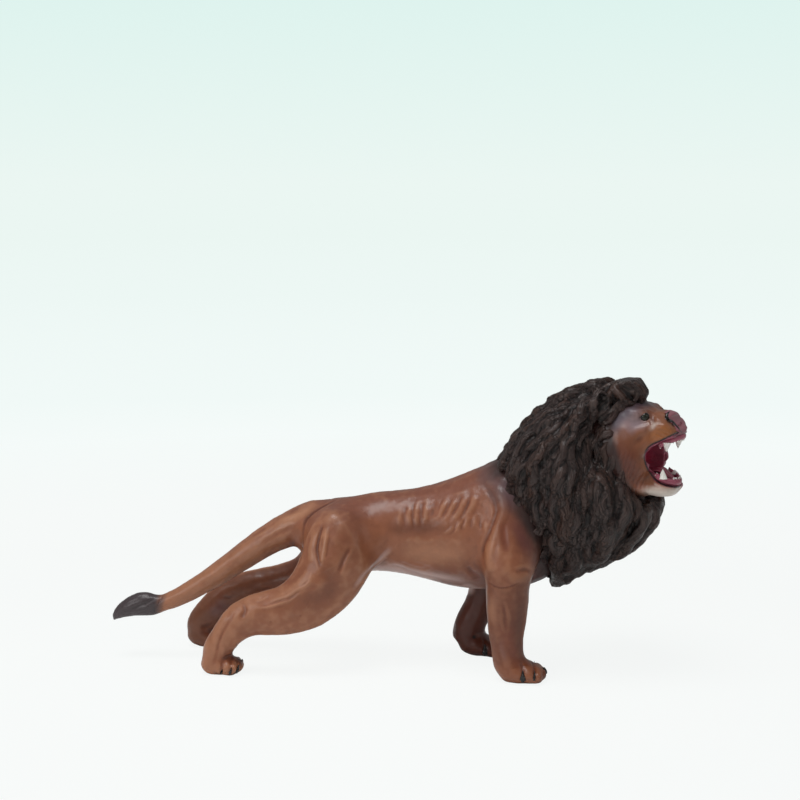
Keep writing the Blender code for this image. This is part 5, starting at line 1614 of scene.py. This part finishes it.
tooth_paint = painted_vinyl("tooth_paint", 0.22, 0.05, 0.03)
for node, lip, way in (("upper_teeth", upper_lip, -1.0), ("lower_teeth", lower_lip, 1.0)):
    form = bmesh.new()
    upright = Matrix.Translation((0.0, gum_half, 0.0)) @ Matrix.Rotation(math.pi / 2, 4, "Y")
    profile = bmesh.ops.create_circle(
        form, segments=gum_sides, radius=1.0, matrix=upright
    )["verts"]
    profile_edges = list({edge for vertex in profile for edge in vertex.link_edges})
    bmesh.ops.spin(
        form, geom=profile + profile_edges, axis=(0.0, 0.0, 1.0), cent=(0.0, 0.0, 0.0),
        angle=-math.pi, steps=gum_steps,
    )
    bmesh.ops.holes_fill(form, edges=form.edges[:])
    for vertex in form.verts:
        x, y, z = vertex.co
        out = math.hypot(x, y)
        share = (gum_half + (out - gum_half) * gum_thick) / out
        along = gum_fronts[node] - gum_depth + x * share * gum_depth / gum_half
        height = float(np.interp(min(along, mouth_line[0][0]), lip[:, 0], lip[:, 1]))
        height += way * gum_rises[node] * gum_sunk
        vertex.co = head_place(along, y * share, height + z * gum_rises[node])
    bmesh.ops.recalc_face_normals(form, faces=form.faces[:])
    gum = new_piece("gum", form)
    gum_count = len(gum.data.vertices)
    form = bmesh.new()
    for hand in (-1.0, 1.0):
        kinds = [(canine_angle, canine_root, canine_lengths[node][hand])]
        kinds.append((cheek_tooth_angle, cheek_tooth_root, cheek_tooth_length))
        kinds += [(angle, incisor_root, incisor_lengths[node]) for angle in incisor_angles]
        for angle, root, length in kinds:
            add_tooth(form, angle * hand, root, length, node, lip, way)
    crowns = new_piece("crowns", form)
    form = bmesh.new()
    form.from_mesh(gum.data)
    form.from_mesh(crowns.data)
    teeth = new_piece(node + "_row", form)
    drop(gum)
    drop(crowns)
    count = len(teeth.data.vertices)
    teeth_coat = np.tile(np.array(tooth_tone), (count, 1))
    teeth_coat[:gum_count] = np.array(gum_tone)
    set_paint(teeth, teeth_coat)
    print(node, count, "vertices, gum", gum_count)
    painted(teeth, tooth_paint)
    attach(teeth, "root")
    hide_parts(node)

# %% [markdown]
# ## Claws
# Each toe ends in a black claw that lies flat on the paw, narrow where it leaves the toe and broad below.
# The claws of the near paws are traced from the photograph. The same ones are set on the other side of each
# paw and on the far paws.

# %% Claws
claw_sides = 8
claw_rows = 9
claw_thickness = 0.55 * mm
claw_clearance = 0.05 * mm
claw_share_places, claw_width_shares = [0.0, 0.8, 1.0], [0.12, 1.0, 0.5]
fore_claws = [
    (2.8, [(522.7, 670.8), (522.8, 676.5), (522.8, 682)]),
    (1.3, [(534.3, 671), (534.4, 675.5), (534, 680.5)]),
    (2.6, [(543.4, 667.8), (545.6, 670.6), (546.4, 675)]),
]
hind_claws = [
    (1.2, [(222.6, 669.4), (221.6, 672), (220.2, 675.2)]),
    (1.5, [(231.6, 667.4), (230.8, 670.6), (229.2, 674.6)]),
    (2.0, [(238.6, 665), (238, 669), (235.8, 674)]),
]


def add_claw(form, path, width):
    """A lens along the path on the skin: pointed at its start, and broadest near its end."""
    shares = np.linspace(0.0, 1.0, claw_rows)
    spots = [Vector(path[round(share * (len(path) - 1))]) for share in shares]
    rings = drawn_out(form, round_profile(claw_sides), claw_rows)
    for row, (ring, share, spot) in enumerate(zip(rings, shares, spots)):
        normal = skin_tree.find_nearest(spot)[1]
        ahead = spots[min(row + 1, claw_rows - 1)] - spots[max(row - 1, 0)]
        beside = normal.cross(ahead.normalized()).normalized()
        half = width * mm / 2 * float(np.interp(share, claw_share_places, claw_width_shares))
        for vertex in ring:
            across, rise, _ = vertex.co
            vertex.co = spot + beside * across * half + normal * rise * claw_thickness


claw_sets = [("fore_claws", fore_claws, fore_moves), ("hind_claws", hind_claws, hind_moves)]
for name, claws, moves in claw_sets:
    form = bmesh.new()
    for width, pixels in claws:
        path = traced(skin_tree, pixels)
        for line in [path] + [moved(skin_tree, path, move) for move in moves]:
            add_claw(form, line, width)
    bmesh.ops.recalc_face_normals(form, faces=form.faces[:])
    for vertex in form.verts:
        vertex.co.z = max(vertex.co.z, claw_clearance)
    claw_set = new_piece(name, form)
    painted(claw_set, black_paint)
    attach(claw_set, "root")

# %% [markdown]
# ## The mane
# The mane is moulded in one piece as a thick collar of wavy locks, a few millimetres wide, that lie over
# each other like shingles. Each lock is a ridged bar drawn out along a line that runs down over the collar.
# A sunk root and a raised tip give the overlap. All locks are then melted into the collar, as vinyl would be.
# Toward the face and the shoulders they grow thin, so the hair ends without a step.

# %% The collar under the locks
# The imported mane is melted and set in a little, to leave room for the locks. A flat ball makes the hump on
# the crown. Crest, brow and throat are then moved to where the photograph's outline has them.
collar_inset, inset_gap = 1.1 * mm, (0.3, 3.5)
collar_voxel, collar_rounds, crown_rounds = 1.2 * mm, 60, 8
drape_voxel, drape_rounds = 1.4 * mm, 8
crown_columns, crown_rows = 32, 20
crown_place = (17.2, 0.0, 44.8)
crown_half_sizes = (12.0, 12.0, 6.0)
crest_dip, dip_above, dip_behind = 2.0 * mm, (40.0, 51.0), (-16.0, -8.0)
crest_alongs = [-40, -36, -30, -16, -8, -3, 1, 4.5, 8, 11, 14.5, 17, 20, 23, 26, 29, 33]
crest_rises = [
    -2.5, -4, -2.2, -2.6, -1.5, 0.4, 0.1, -2.4, 0.2, 0.0, -3.6, -1.0, 3.0, 3.6, 1.0, -1.2, -1.6,
]
crest_slant = (0.0, 0.5)
brow_drop, brow_beyond, brow_from, brow_above = 2.6 * mm, (1.0, 7.0), (24.0, 30.0), (36.0, 42.0)
throat_push, throat_slant = 3.4 * mm, (0.15, 0.65)
throat_above, throat_below = (50.0, 58.0), (-98.0, -88.0)

collar = casting_copy("collar", "mane")
melted(collar, collar_voxel)
even_out(collar, collar_rounds)
places = vertex_places(collar)
others = np.array([
    min(head_tree.find_nearest(place)[3], skin_tree.find_nearest(place)[3]) for place in places
])
places -= vertex_normals(collar) * (fade(others / mm, *inset_gap) * collar_inset)[:, None]
along, side, height = head_local(places).T
places[:, 2] -= fade(height, *dip_above) * fade(-along, *dip_behind) * crest_dip
move_vertices(collar, places)
form = bmesh.new()
form.from_mesh(collar.data)
crown = bmesh.ops.create_uvsphere(
    form, u_segments=crown_columns, v_segments=crown_rows, radius=1.0
)["verts"]
for vertex in crown:
    offset = [share * half for share, half in zip(vertex.co, crown_half_sizes)]
    vertex.co = head_place(*[middle + move for middle, move in zip(crown_place, offset)])
form.to_mesh(collar.data)
form.free()
melted(collar, collar_voxel)
even_out(collar, crown_rounds)
places, normals = vertex_places(collar), vertex_normals(collar)
along, side, height = head_local(places).T
places[:, 2] += np.interp(along, crest_alongs, crest_rises) * fade(normals[:, 2], *crest_slant) * mm
brow = brow_drop * fade(side, *brow_beyond) * fade(along, *brow_from) * fade(height, *brow_above)
places[:, 2] -= brow
z = places[:, 2] / mm
throat = fade(normals[:, 0], *throat_slant) * fade(z, *throat_above) * fade(-z, *throat_below)
places += normals * (throat * throat_push)[:, None]
move_vertices(collar, places)
collar_tree = tree_of(collar)

form = bmesh.new()
for source in (collar, skin, head):
    form.from_mesh(source.data)
drape = new_piece("drape", form)
melted(drape, drape_voxel)
even_out(drape, drape_rounds)
drape_tree = tree_of(drape)
print("drape:", len(drape.data.vertices), "vertices")

# %% How thick the hair is
# The locks lie on the drape, a soft cloth over collar, head and skin. What is close to one of the three
# decides how thick the hair is there. Gaps are in millimetres.
hairline_fade, brow_fade = (-2.5, 2.5), (-0.5, 1.6)
brow_height = 37.0
close, off_collar = 1.0, 0.8
rim_start, rim_low, rim_high, rim_heights, head_slack = 0.2, 1.0, 3.0, (45.0, 75.0), 1.5
fringe_reach, fringe_depth = 4.5, 0.45
head_above, head_from = 90.0 * mm, 70.0 * mm


def beside_head(place):
    """Whether a place is as high and as far forward as the head."""
    return place.z > head_above and place.x > head_from


def hair_depth(place):
    """From 0 where no hair grows to 1 where it is thick."""
    to_collar = collar_tree.find_nearest(place)[3] / mm
    to_head = head_tree.find_nearest(place)[3] / mm
    to_skin = skin_tree.find_nearest(place)[3] / mm
    if (to_head < close or beside_head(place)) and to_collar > off_collar:
        if to_skin < close and not beside_head(place):
            return 0.0
        high = head_local([place])[0, 2] > brow_height
        return float(fade(behind_hairline([place])[0], *(brow_fade if high else hairline_fade)))
    if to_collar > off_collar:
        return float(fade(-to_collar, -fringe_reach, -off_collar)) * fringe_depth
    full = rim_low + (rim_high - rim_low) * float(fade(place.z / mm, *rim_heights))
    return max(fringe_depth, float(fade(min(to_skin, to_head + head_slack), rim_start, full)))


# %% Where the locks grow
# Roots are vertices of the drape, tried in an order that the seed shuffles. One that is too close to an
# earlier root, along or across the fall of the hair, is left out.
hair_seed = 11
lock_spacing_along = 6.6
lock_spacing_across = 3.4
root_reach = 1.2
mane_back, mane_bottom, thinnest_hair = 40.0 * mm, 30.0 * mm, 0.12
hair = random.Random(hair_seed)

face_sweep, crest_sweep, nape_sweep, throat_sweep = 0.12, 0.75, 0.35, 0.55
crest_above, nape_behind = (96.0, 118.0), (-72.0, -54.0)
beard_from, beard_below = (84.0, 104.0), (-76.0, -60.0)
crown_from, crown_above = (14.0, 22.0), (42.0, 46.0)
crown_fall = head_ahead * 0.9 - Vector((0.0, 0.0, 0.5))


def sweep_of(place):
    """How far the hair sweeps back as it falls: most on the crest, least beside the face."""
    x, y, z = np.array(place) / mm
    crest = float(fade(z, *crest_above)) * crest_sweep
    nape = float(fade(-x, *nape_behind)) * nape_sweep
    throat = float(fade(x, *beard_from) * fade(-z, *beard_below)) * throat_sweep
    return face_sweep + crest + nape + throat


def fall_of(place, normal):
    """The direction in which the hair falls over the surface here. On the crown it falls forward."""
    fall = Vector((-sweep_of(place), 0.0, -1.0))
    along, side, height = head_local([place])[0]
    crown = float(fade(along, *crown_from) * fade(height, *crown_above))
    fall = fall * (1.0 - crown) + crown_fall * crown
    return (fall - normal * fall.dot(normal)).normalized()


def grows_here(place):
    """Roots stand on the collar or behind the hairline. Only the tips hang over the shoulders."""
    on_collar = collar_tree.find_nearest(place)[3] / mm < root_reach
    return on_collar or beside_head(place) or head_tree.find_nearest(place)[3] / mm < close


candidates = list(drape.data.vertices)
hair.shuffle(candidates)
roots = []
root_places = np.zeros((0, 3))
root_falls = np.zeros((0, 3))
for vertex in candidates:
    place = vertex.co
    if place.x < mane_back or place.z < mane_bottom:
        continue
    if len(roots):
        offset = (root_places - np.array(place)) / mm
        ahead = (offset * root_falls).sum(axis=1)
        beside = np.sqrt(np.maximum((offset**2).sum(axis=1) - ahead**2, 0.0))
        if ((ahead / lock_spacing_along) ** 2 + (beside / lock_spacing_across) ** 2).min() < 1.0:
            continue
    if hair_depth(place) < thinnest_hair or not grows_here(place):
        continue
    normal = vertex.normal.copy()
    roots.append((place.copy(), normal))
    root_places = np.vstack([root_places, place])
    root_falls = np.vstack([root_falls, fall_of(place, normal)])
print("lock roots:", len(roots))

# %% The locks
# A lock is a row of ridged profiles along its line. The shares say how wide, how high and how thick each is.
lock_rows = 9
lock_profile = [
    (-1.0, 0.0), (-0.72, 0.62), (-0.42, 0.55), (-0.14, 1.0), (0.16, 0.70), (0.46, 0.98), (0.74, 0.52),
    (1.0, 0.0), (0.5, -0.6), (-0.5, -0.6),
]
crest_lift, lift_above, lift_slant = 0.7, (104.0, 122.0), (0.2, 0.7)
waves_in_a_lock = 1.1
thin_hair, thin_hair_sink = 0.35, -1.6
least_width_share, least_height_share = 0.45, 0.2
row_share = np.linspace(0.0, 1.0, lock_rows)
lock_width_share = np.interp(row_share, [0, 0.15, 0.45, 0.75, 0.92, 1], [0.5, 0.9, 1.0, 0.8, 0.45, 0.08])
lock_lift_share = np.interp(row_share, [0, 0.25, 0.7, 1], [-0.9, -0.15, 0.45, 0.35])
lock_thick_share = np.interp(row_share, [0, 0.2, 0.7, 1], [0.8, 1.0, 0.8, 0.2])


def lay_lock(place, normal, length, swing, bend_share):
    """Walks over the drape from a root, and gives places, normals, directions across and hair depths."""
    stride = length / (lock_rows - 1)
    rows = []
    for row in range(lock_rows):
        fall = fall_of(place, normal)
        bend = math.sin(2 * math.pi * (row / (lock_rows - 1) * waves_in_a_lock + swing))
        ahead = (fall + normal.cross(fall) * bend * bend_share).normalized()
        rows.append((place.copy(), normal.copy(), normal.cross(ahead).normalized(), hair_depth(place)))
        place, normal, _, _ = drape_tree.find_nearest(place + ahead * stride)
    return rows


def add_lock(form, rows, half_width, height):
    """Draws the ridged profile of a lock out along the rows."""
    rings = drawn_out(form, lock_profile, len(rows))
    shapes = zip(rings, rows, lock_width_share, lock_lift_share, lock_thick_share)
    for ring, (place, normal, beside, depth), wide, lift, thick in shapes:
        sunk = (1.0 - depth) * thin_hair_sink * mm * (depth < thin_hair)
        width_share = least_width_share + (1.0 - least_width_share) * depth
        height_share = least_height_share + (1.0 - least_height_share) * depth
        for vertex in ring:
            across, rise, _ = vertex.co
            vertex.co = place + beside * across * wide * half_width * width_share
            vertex.co += normal * ((lift + rise * thick) * height * height_share + sunk)


lock_lengths, lock_half_widths, lock_heights, lock_bends = (13.0, 20.0), (1.9, 2.9), (1.1, 1.8), (0.2, 0.65)
locks = bmesh.new()
spines = []
for place, normal in roots:
    length = hair.uniform(*lock_lengths) * mm
    rows = lay_lock(place, normal, length, hair.random(), hair.uniform(*lock_bends))
    spines.append(rows)
    lift = 1.0 + crest_lift * float(fade(place.z / mm, *lift_above) * fade(normal.z, *lift_slant))
    add_lock(locks, rows, hair.uniform(*lock_half_widths) * mm, hair.uniform(*lock_heights) * lift * mm)

# %% Tufts on the outline
# A tuft is a large lock at a place where the photograph's outline has a bump. One more lies on each side.
crest_spots = [
    (632, 378), (608, 382), (587, 384), (568, 388), (552, 399), (538, 408), (524, 418), (510, 436),
    (499, 453),
]
throat_spots = [(556, 584), (567, 581), (579, 575), (591, 570), (603, 564)]
tuft_kinds = [(crest_spots, 13.0 * mm, 4.4 * mm, 3.1 * mm), (throat_spots, 10.0 * mm, 2.8 * mm, 2.2 * mm)]
tuft_sink, tuft_gap = 0.6 * mm, 7.0 * mm
tuft_bend, tuft_height_shares = 0.3, (0.8, 1.2)

for spots, tuft_length, half_width, tuft_height in tuft_kinds:
    for spot, way in itertools.product(spots, (-1.0, 0.0, 1.0)):
        place = seen_place(drape_tree, spot) + Vector((0.0, way * tuft_gap, 0.0))
        place, normal, _, _ = drape_tree.find_nearest(place)
        rows = lay_lock(place - normal * tuft_sink, normal, tuft_length, hair.random(), tuft_bend)
        spines.append(rows)
        add_lock(locks, rows, half_width, tuft_height * hair.uniform(*tuft_height_shares))
bmesh.ops.recalc_face_normals(locks, faces=locks.faces[:])
locks.from_mesh(collar.data)

# %% The ears
ear_along, ear_side, ear_height = 17.2, 17.2, 43.2
ear_half_sizes = (2.9, 4.0, 5.2)
ear_dent, dent_from = 3.4, (0.45, 0.95)
ear_ahead, ear_outward, ear_upward = 0.75, 0.65, 0.1

for way in (-1.0, 1.0):
    centre = head_place(ear_along, way * ear_side, ear_height)
    opening = head_ahead * ear_ahead + head_across * way * ear_outward + Vector((0.0, 0.0, ear_upward))
    opening = opening.normalized()
    ball = bmesh.ops.create_uvsphere(locks, u_segments=24, v_segments=16, radius=1.0)["verts"]
    for vertex in ball:
        x, y, z = vertex.co
        local = Vector((x * ear_half_sizes[0], y * ear_half_sizes[1], z * ear_half_sizes[2])) * mm
        turn = opening.to_track_quat("X", "Z").to_matrix()
        facing = float(fade(np.array(x), *dent_from))
        vertex.co = centre + turn @ (local - Vector((facing * ear_dent * mm, 0.0, 0.0)))

# %% One casting from locks, ears and collar
mane_voxel = 0.52 * mm
box_margin = 0.1 * mm

mane = new_piece("mane_locks", locks)
melted(mane, mane_voxel)
even_out(mane, 1)
thinned(mane)
low, high = np.array(cad_box[0]) + box_margin, np.array(cad_box[1]) - box_margin
move_vertices(mane, np.clip(vertex_places(mane), low, high))
print("mane:", len(mane.data.vertices), "vertices,", len(spines), "locks")

# %% Strands
# Each vertex learns where it lies across and along its nearest lock, so that fine strands can follow it. A
# third number shifts the pattern from lock to lock.
row_step, lock_shift = 2.0, 1.7
spine_lookup = KDTree(len(spines) * lock_rows)
for number, rows in enumerate(spines):
    for row, (place, *_) in enumerate(rows):
        spine_lookup.insert(place, number * lock_rows + row)
spine_lookup.balance()
spine_places = np.array([place for rows in spines for place, *_ in rows])
spine_beside = np.array([beside for rows in spines for _, _, beside, _ in rows])
places = vertex_places(mane)
nearest = np.array([spine_lookup.find(place)[1] for place in places])
offset = (places - spine_places[nearest]) / mm
beside = (offset * spine_beside[nearest]).sum(axis=1)
ahead = np.cross(spine_beside, np.array([normal for rows in spines for _, normal, _, _ in rows]))
onward = (offset * ahead[nearest]).sum(axis=1) + (nearest % lock_rows) * row_step
strand = mane.data.attributes.new("strand", "FLOAT_VECTOR", "POINT")
strand_places = np.column_stack([beside, onward, nearest // lock_rows * lock_shift])
strand.data.foreach_set("vector", strand_places.ravel())

# %% The mane's colours
mane_tone = tone(44, 32, 30)
mane_highlight_tone = tone(96, 78, 72)
mane_shade_tone = tone(12, 8, 8)
mane_rust_tone = tone(66, 42, 32)
mane_rim_tone = tone(62, 42, 38)
ear_hole_tone = tone(8, 5, 5)
rusty_locks, rim_reach, edge_reach, edge_from = (0.55, 1.0), (-3.0, -0.3), (-4.0, 0.5), (8.0, 14.0)
lock_rounds, lock_hollows, lock_ridges = 8, (0.01, 0.20), (0.04, 0.24)
hole_ahead, hole_reach, hole_slant, hole_edge = 1.5, (-4.4, -3.0), (0.0, 0.5), (0.0, 0.4)

normals = vertex_normals(mane)
mane_coat = np.tile(np.array(mane_tone), (len(places), 1))
lock_tint = np.array([hair.random() for _ in spines])[nearest // lock_rows]
mane_coat = blended(mane_coat, mane_rust_tone, fade(lock_tint, *rusty_locks) * 0.7)
rim = np.array([skin_tree.find_nearest(place)[3] for place in places]) / mm
mane_coat = blended(mane_coat, mane_rim_tone, fade(-rim, *rim_reach) * 0.7)
edge = fade(-behind_hairline(places), *edge_reach) * fade(head_local(places)[:, 0], *edge_from)
mane_coat = blended(mane_coat, hair_edge_tone, edge)
lock_hollow = hollowness(mane, lock_rounds)
# Painted shade in the hollows between the locks, and a paler dry-brush on their ridges that also paints their
# highlights.
mane_coat = blended(mane_coat, mane_shade_tone, fade(lock_hollow, *lock_hollows) * 0.9)
mane_coat = blended(mane_coat, mane_highlight_tone, fade(-lock_hollow, *lock_ridges) * 0.22)
for way in (-1.0, 1.0):
    opening = (head_ahead * ear_ahead + head_across * way * ear_outward).normalized()
    centre = head_place(ear_along, way * ear_side, ear_height) + opening * hole_ahead * mm
    gap = np.linalg.norm(places - np.array(centre), axis=1) / mm
    inward = fade(normals @ np.array(opening), *hole_slant)
    mane_coat = blended(mane_coat, ear_hole_tone, fade(-gap, *hole_reach) * fade(inward, *hole_edge))
set_paint(mane, mane_coat)

# %% Strand vinyl
strand_stretch = (1.5, 0.11, 1.0)
strand_depth, strand_roughness = 0.9 * mm, 0.6
brushed_from, brushed_full, brushed_share = 0.49, 0.66, 0.50
strand_specular, strand_coat = 0.30, 0.12


def strand_vinyl(name):
    """The painted vinyl with fine strands along each lock, dry-brushed paler where they stand up, which also
    paints their highlights.
    """
    material = painted_vinyl(name, 0.36, 0.12, 0.05)
    tree = material.node_tree
    shader = tree.nodes["Principled BSDF"]
    shader.inputs["Specular IOR Level"].default_value = strand_specular
    shader.inputs["Coat Weight"].default_value = strand_coat
    lock = add_node(tree, "Attribute", {"attribute_name": "strand"})
    drawn = add_node(tree, "Mapping", Vector=lock.outputs["Vector"], Scale=strand_stretch)
    fibre = add_node(
        tree, "TexNoise", Vector=drawn.outputs["Vector"], Scale=1.0, Detail=2.5, Roughness=strand_roughness
    )
    bump = add_node(tree, "Bump", Height=fibre.outputs["Fac"], Distance=strand_depth, Strength=1.0)
    tree.links.new(shader.inputs["Normal"].links[0].from_socket, bump.inputs["Normal"])
    brushed = add_node(
        tree, "MapRange", Value=fibre.outputs["Fac"], From_Min=brushed_from, From_Max=brushed_full
    )
    amount = add_node(tree, "Math", {"operation": "MULTIPLY"}, Value=brushed.outputs["Result"])
    amount.inputs[1].default_value = brushed_share
    mixed = add_node(tree, "MixRGB", Fac=amount.outputs["Value"], Color2=(*mane_highlight_tone, 1.0))
    tree.links.new(shader.inputs["Base Color"].links[0].from_socket, mixed.inputs["Color1"])
    tree.links.new(mixed.outputs["Color"], shader.inputs["Base Color"])
    tree.links.new(bump.outputs["Normal"], shader.inputs["Normal"])
    return material


mane_vinyl = strand_vinyl("mane_vinyl")
painted(mane, mane_vinyl)
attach(mane, "root")
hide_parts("mane")
for helper in (drape, collar, skin):
    drop(helper)

# %% [markdown]
# ## Sizes at the end
# The dressed figure is kept inside the imported model's box. Roughening may leave the soles or the nose a
# tenth of a millimetre proud of it, so every dressed piece is set back inside.

# %% Inside the imported box
nodes = list(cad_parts.values())
for piece in [obj for obj in bpy.data.objects if obj.type == "MESH" and obj != floor and obj not in nodes]:
    move_vertices(piece, np.clip(vertex_places(piece), *np.array(cad_box)))
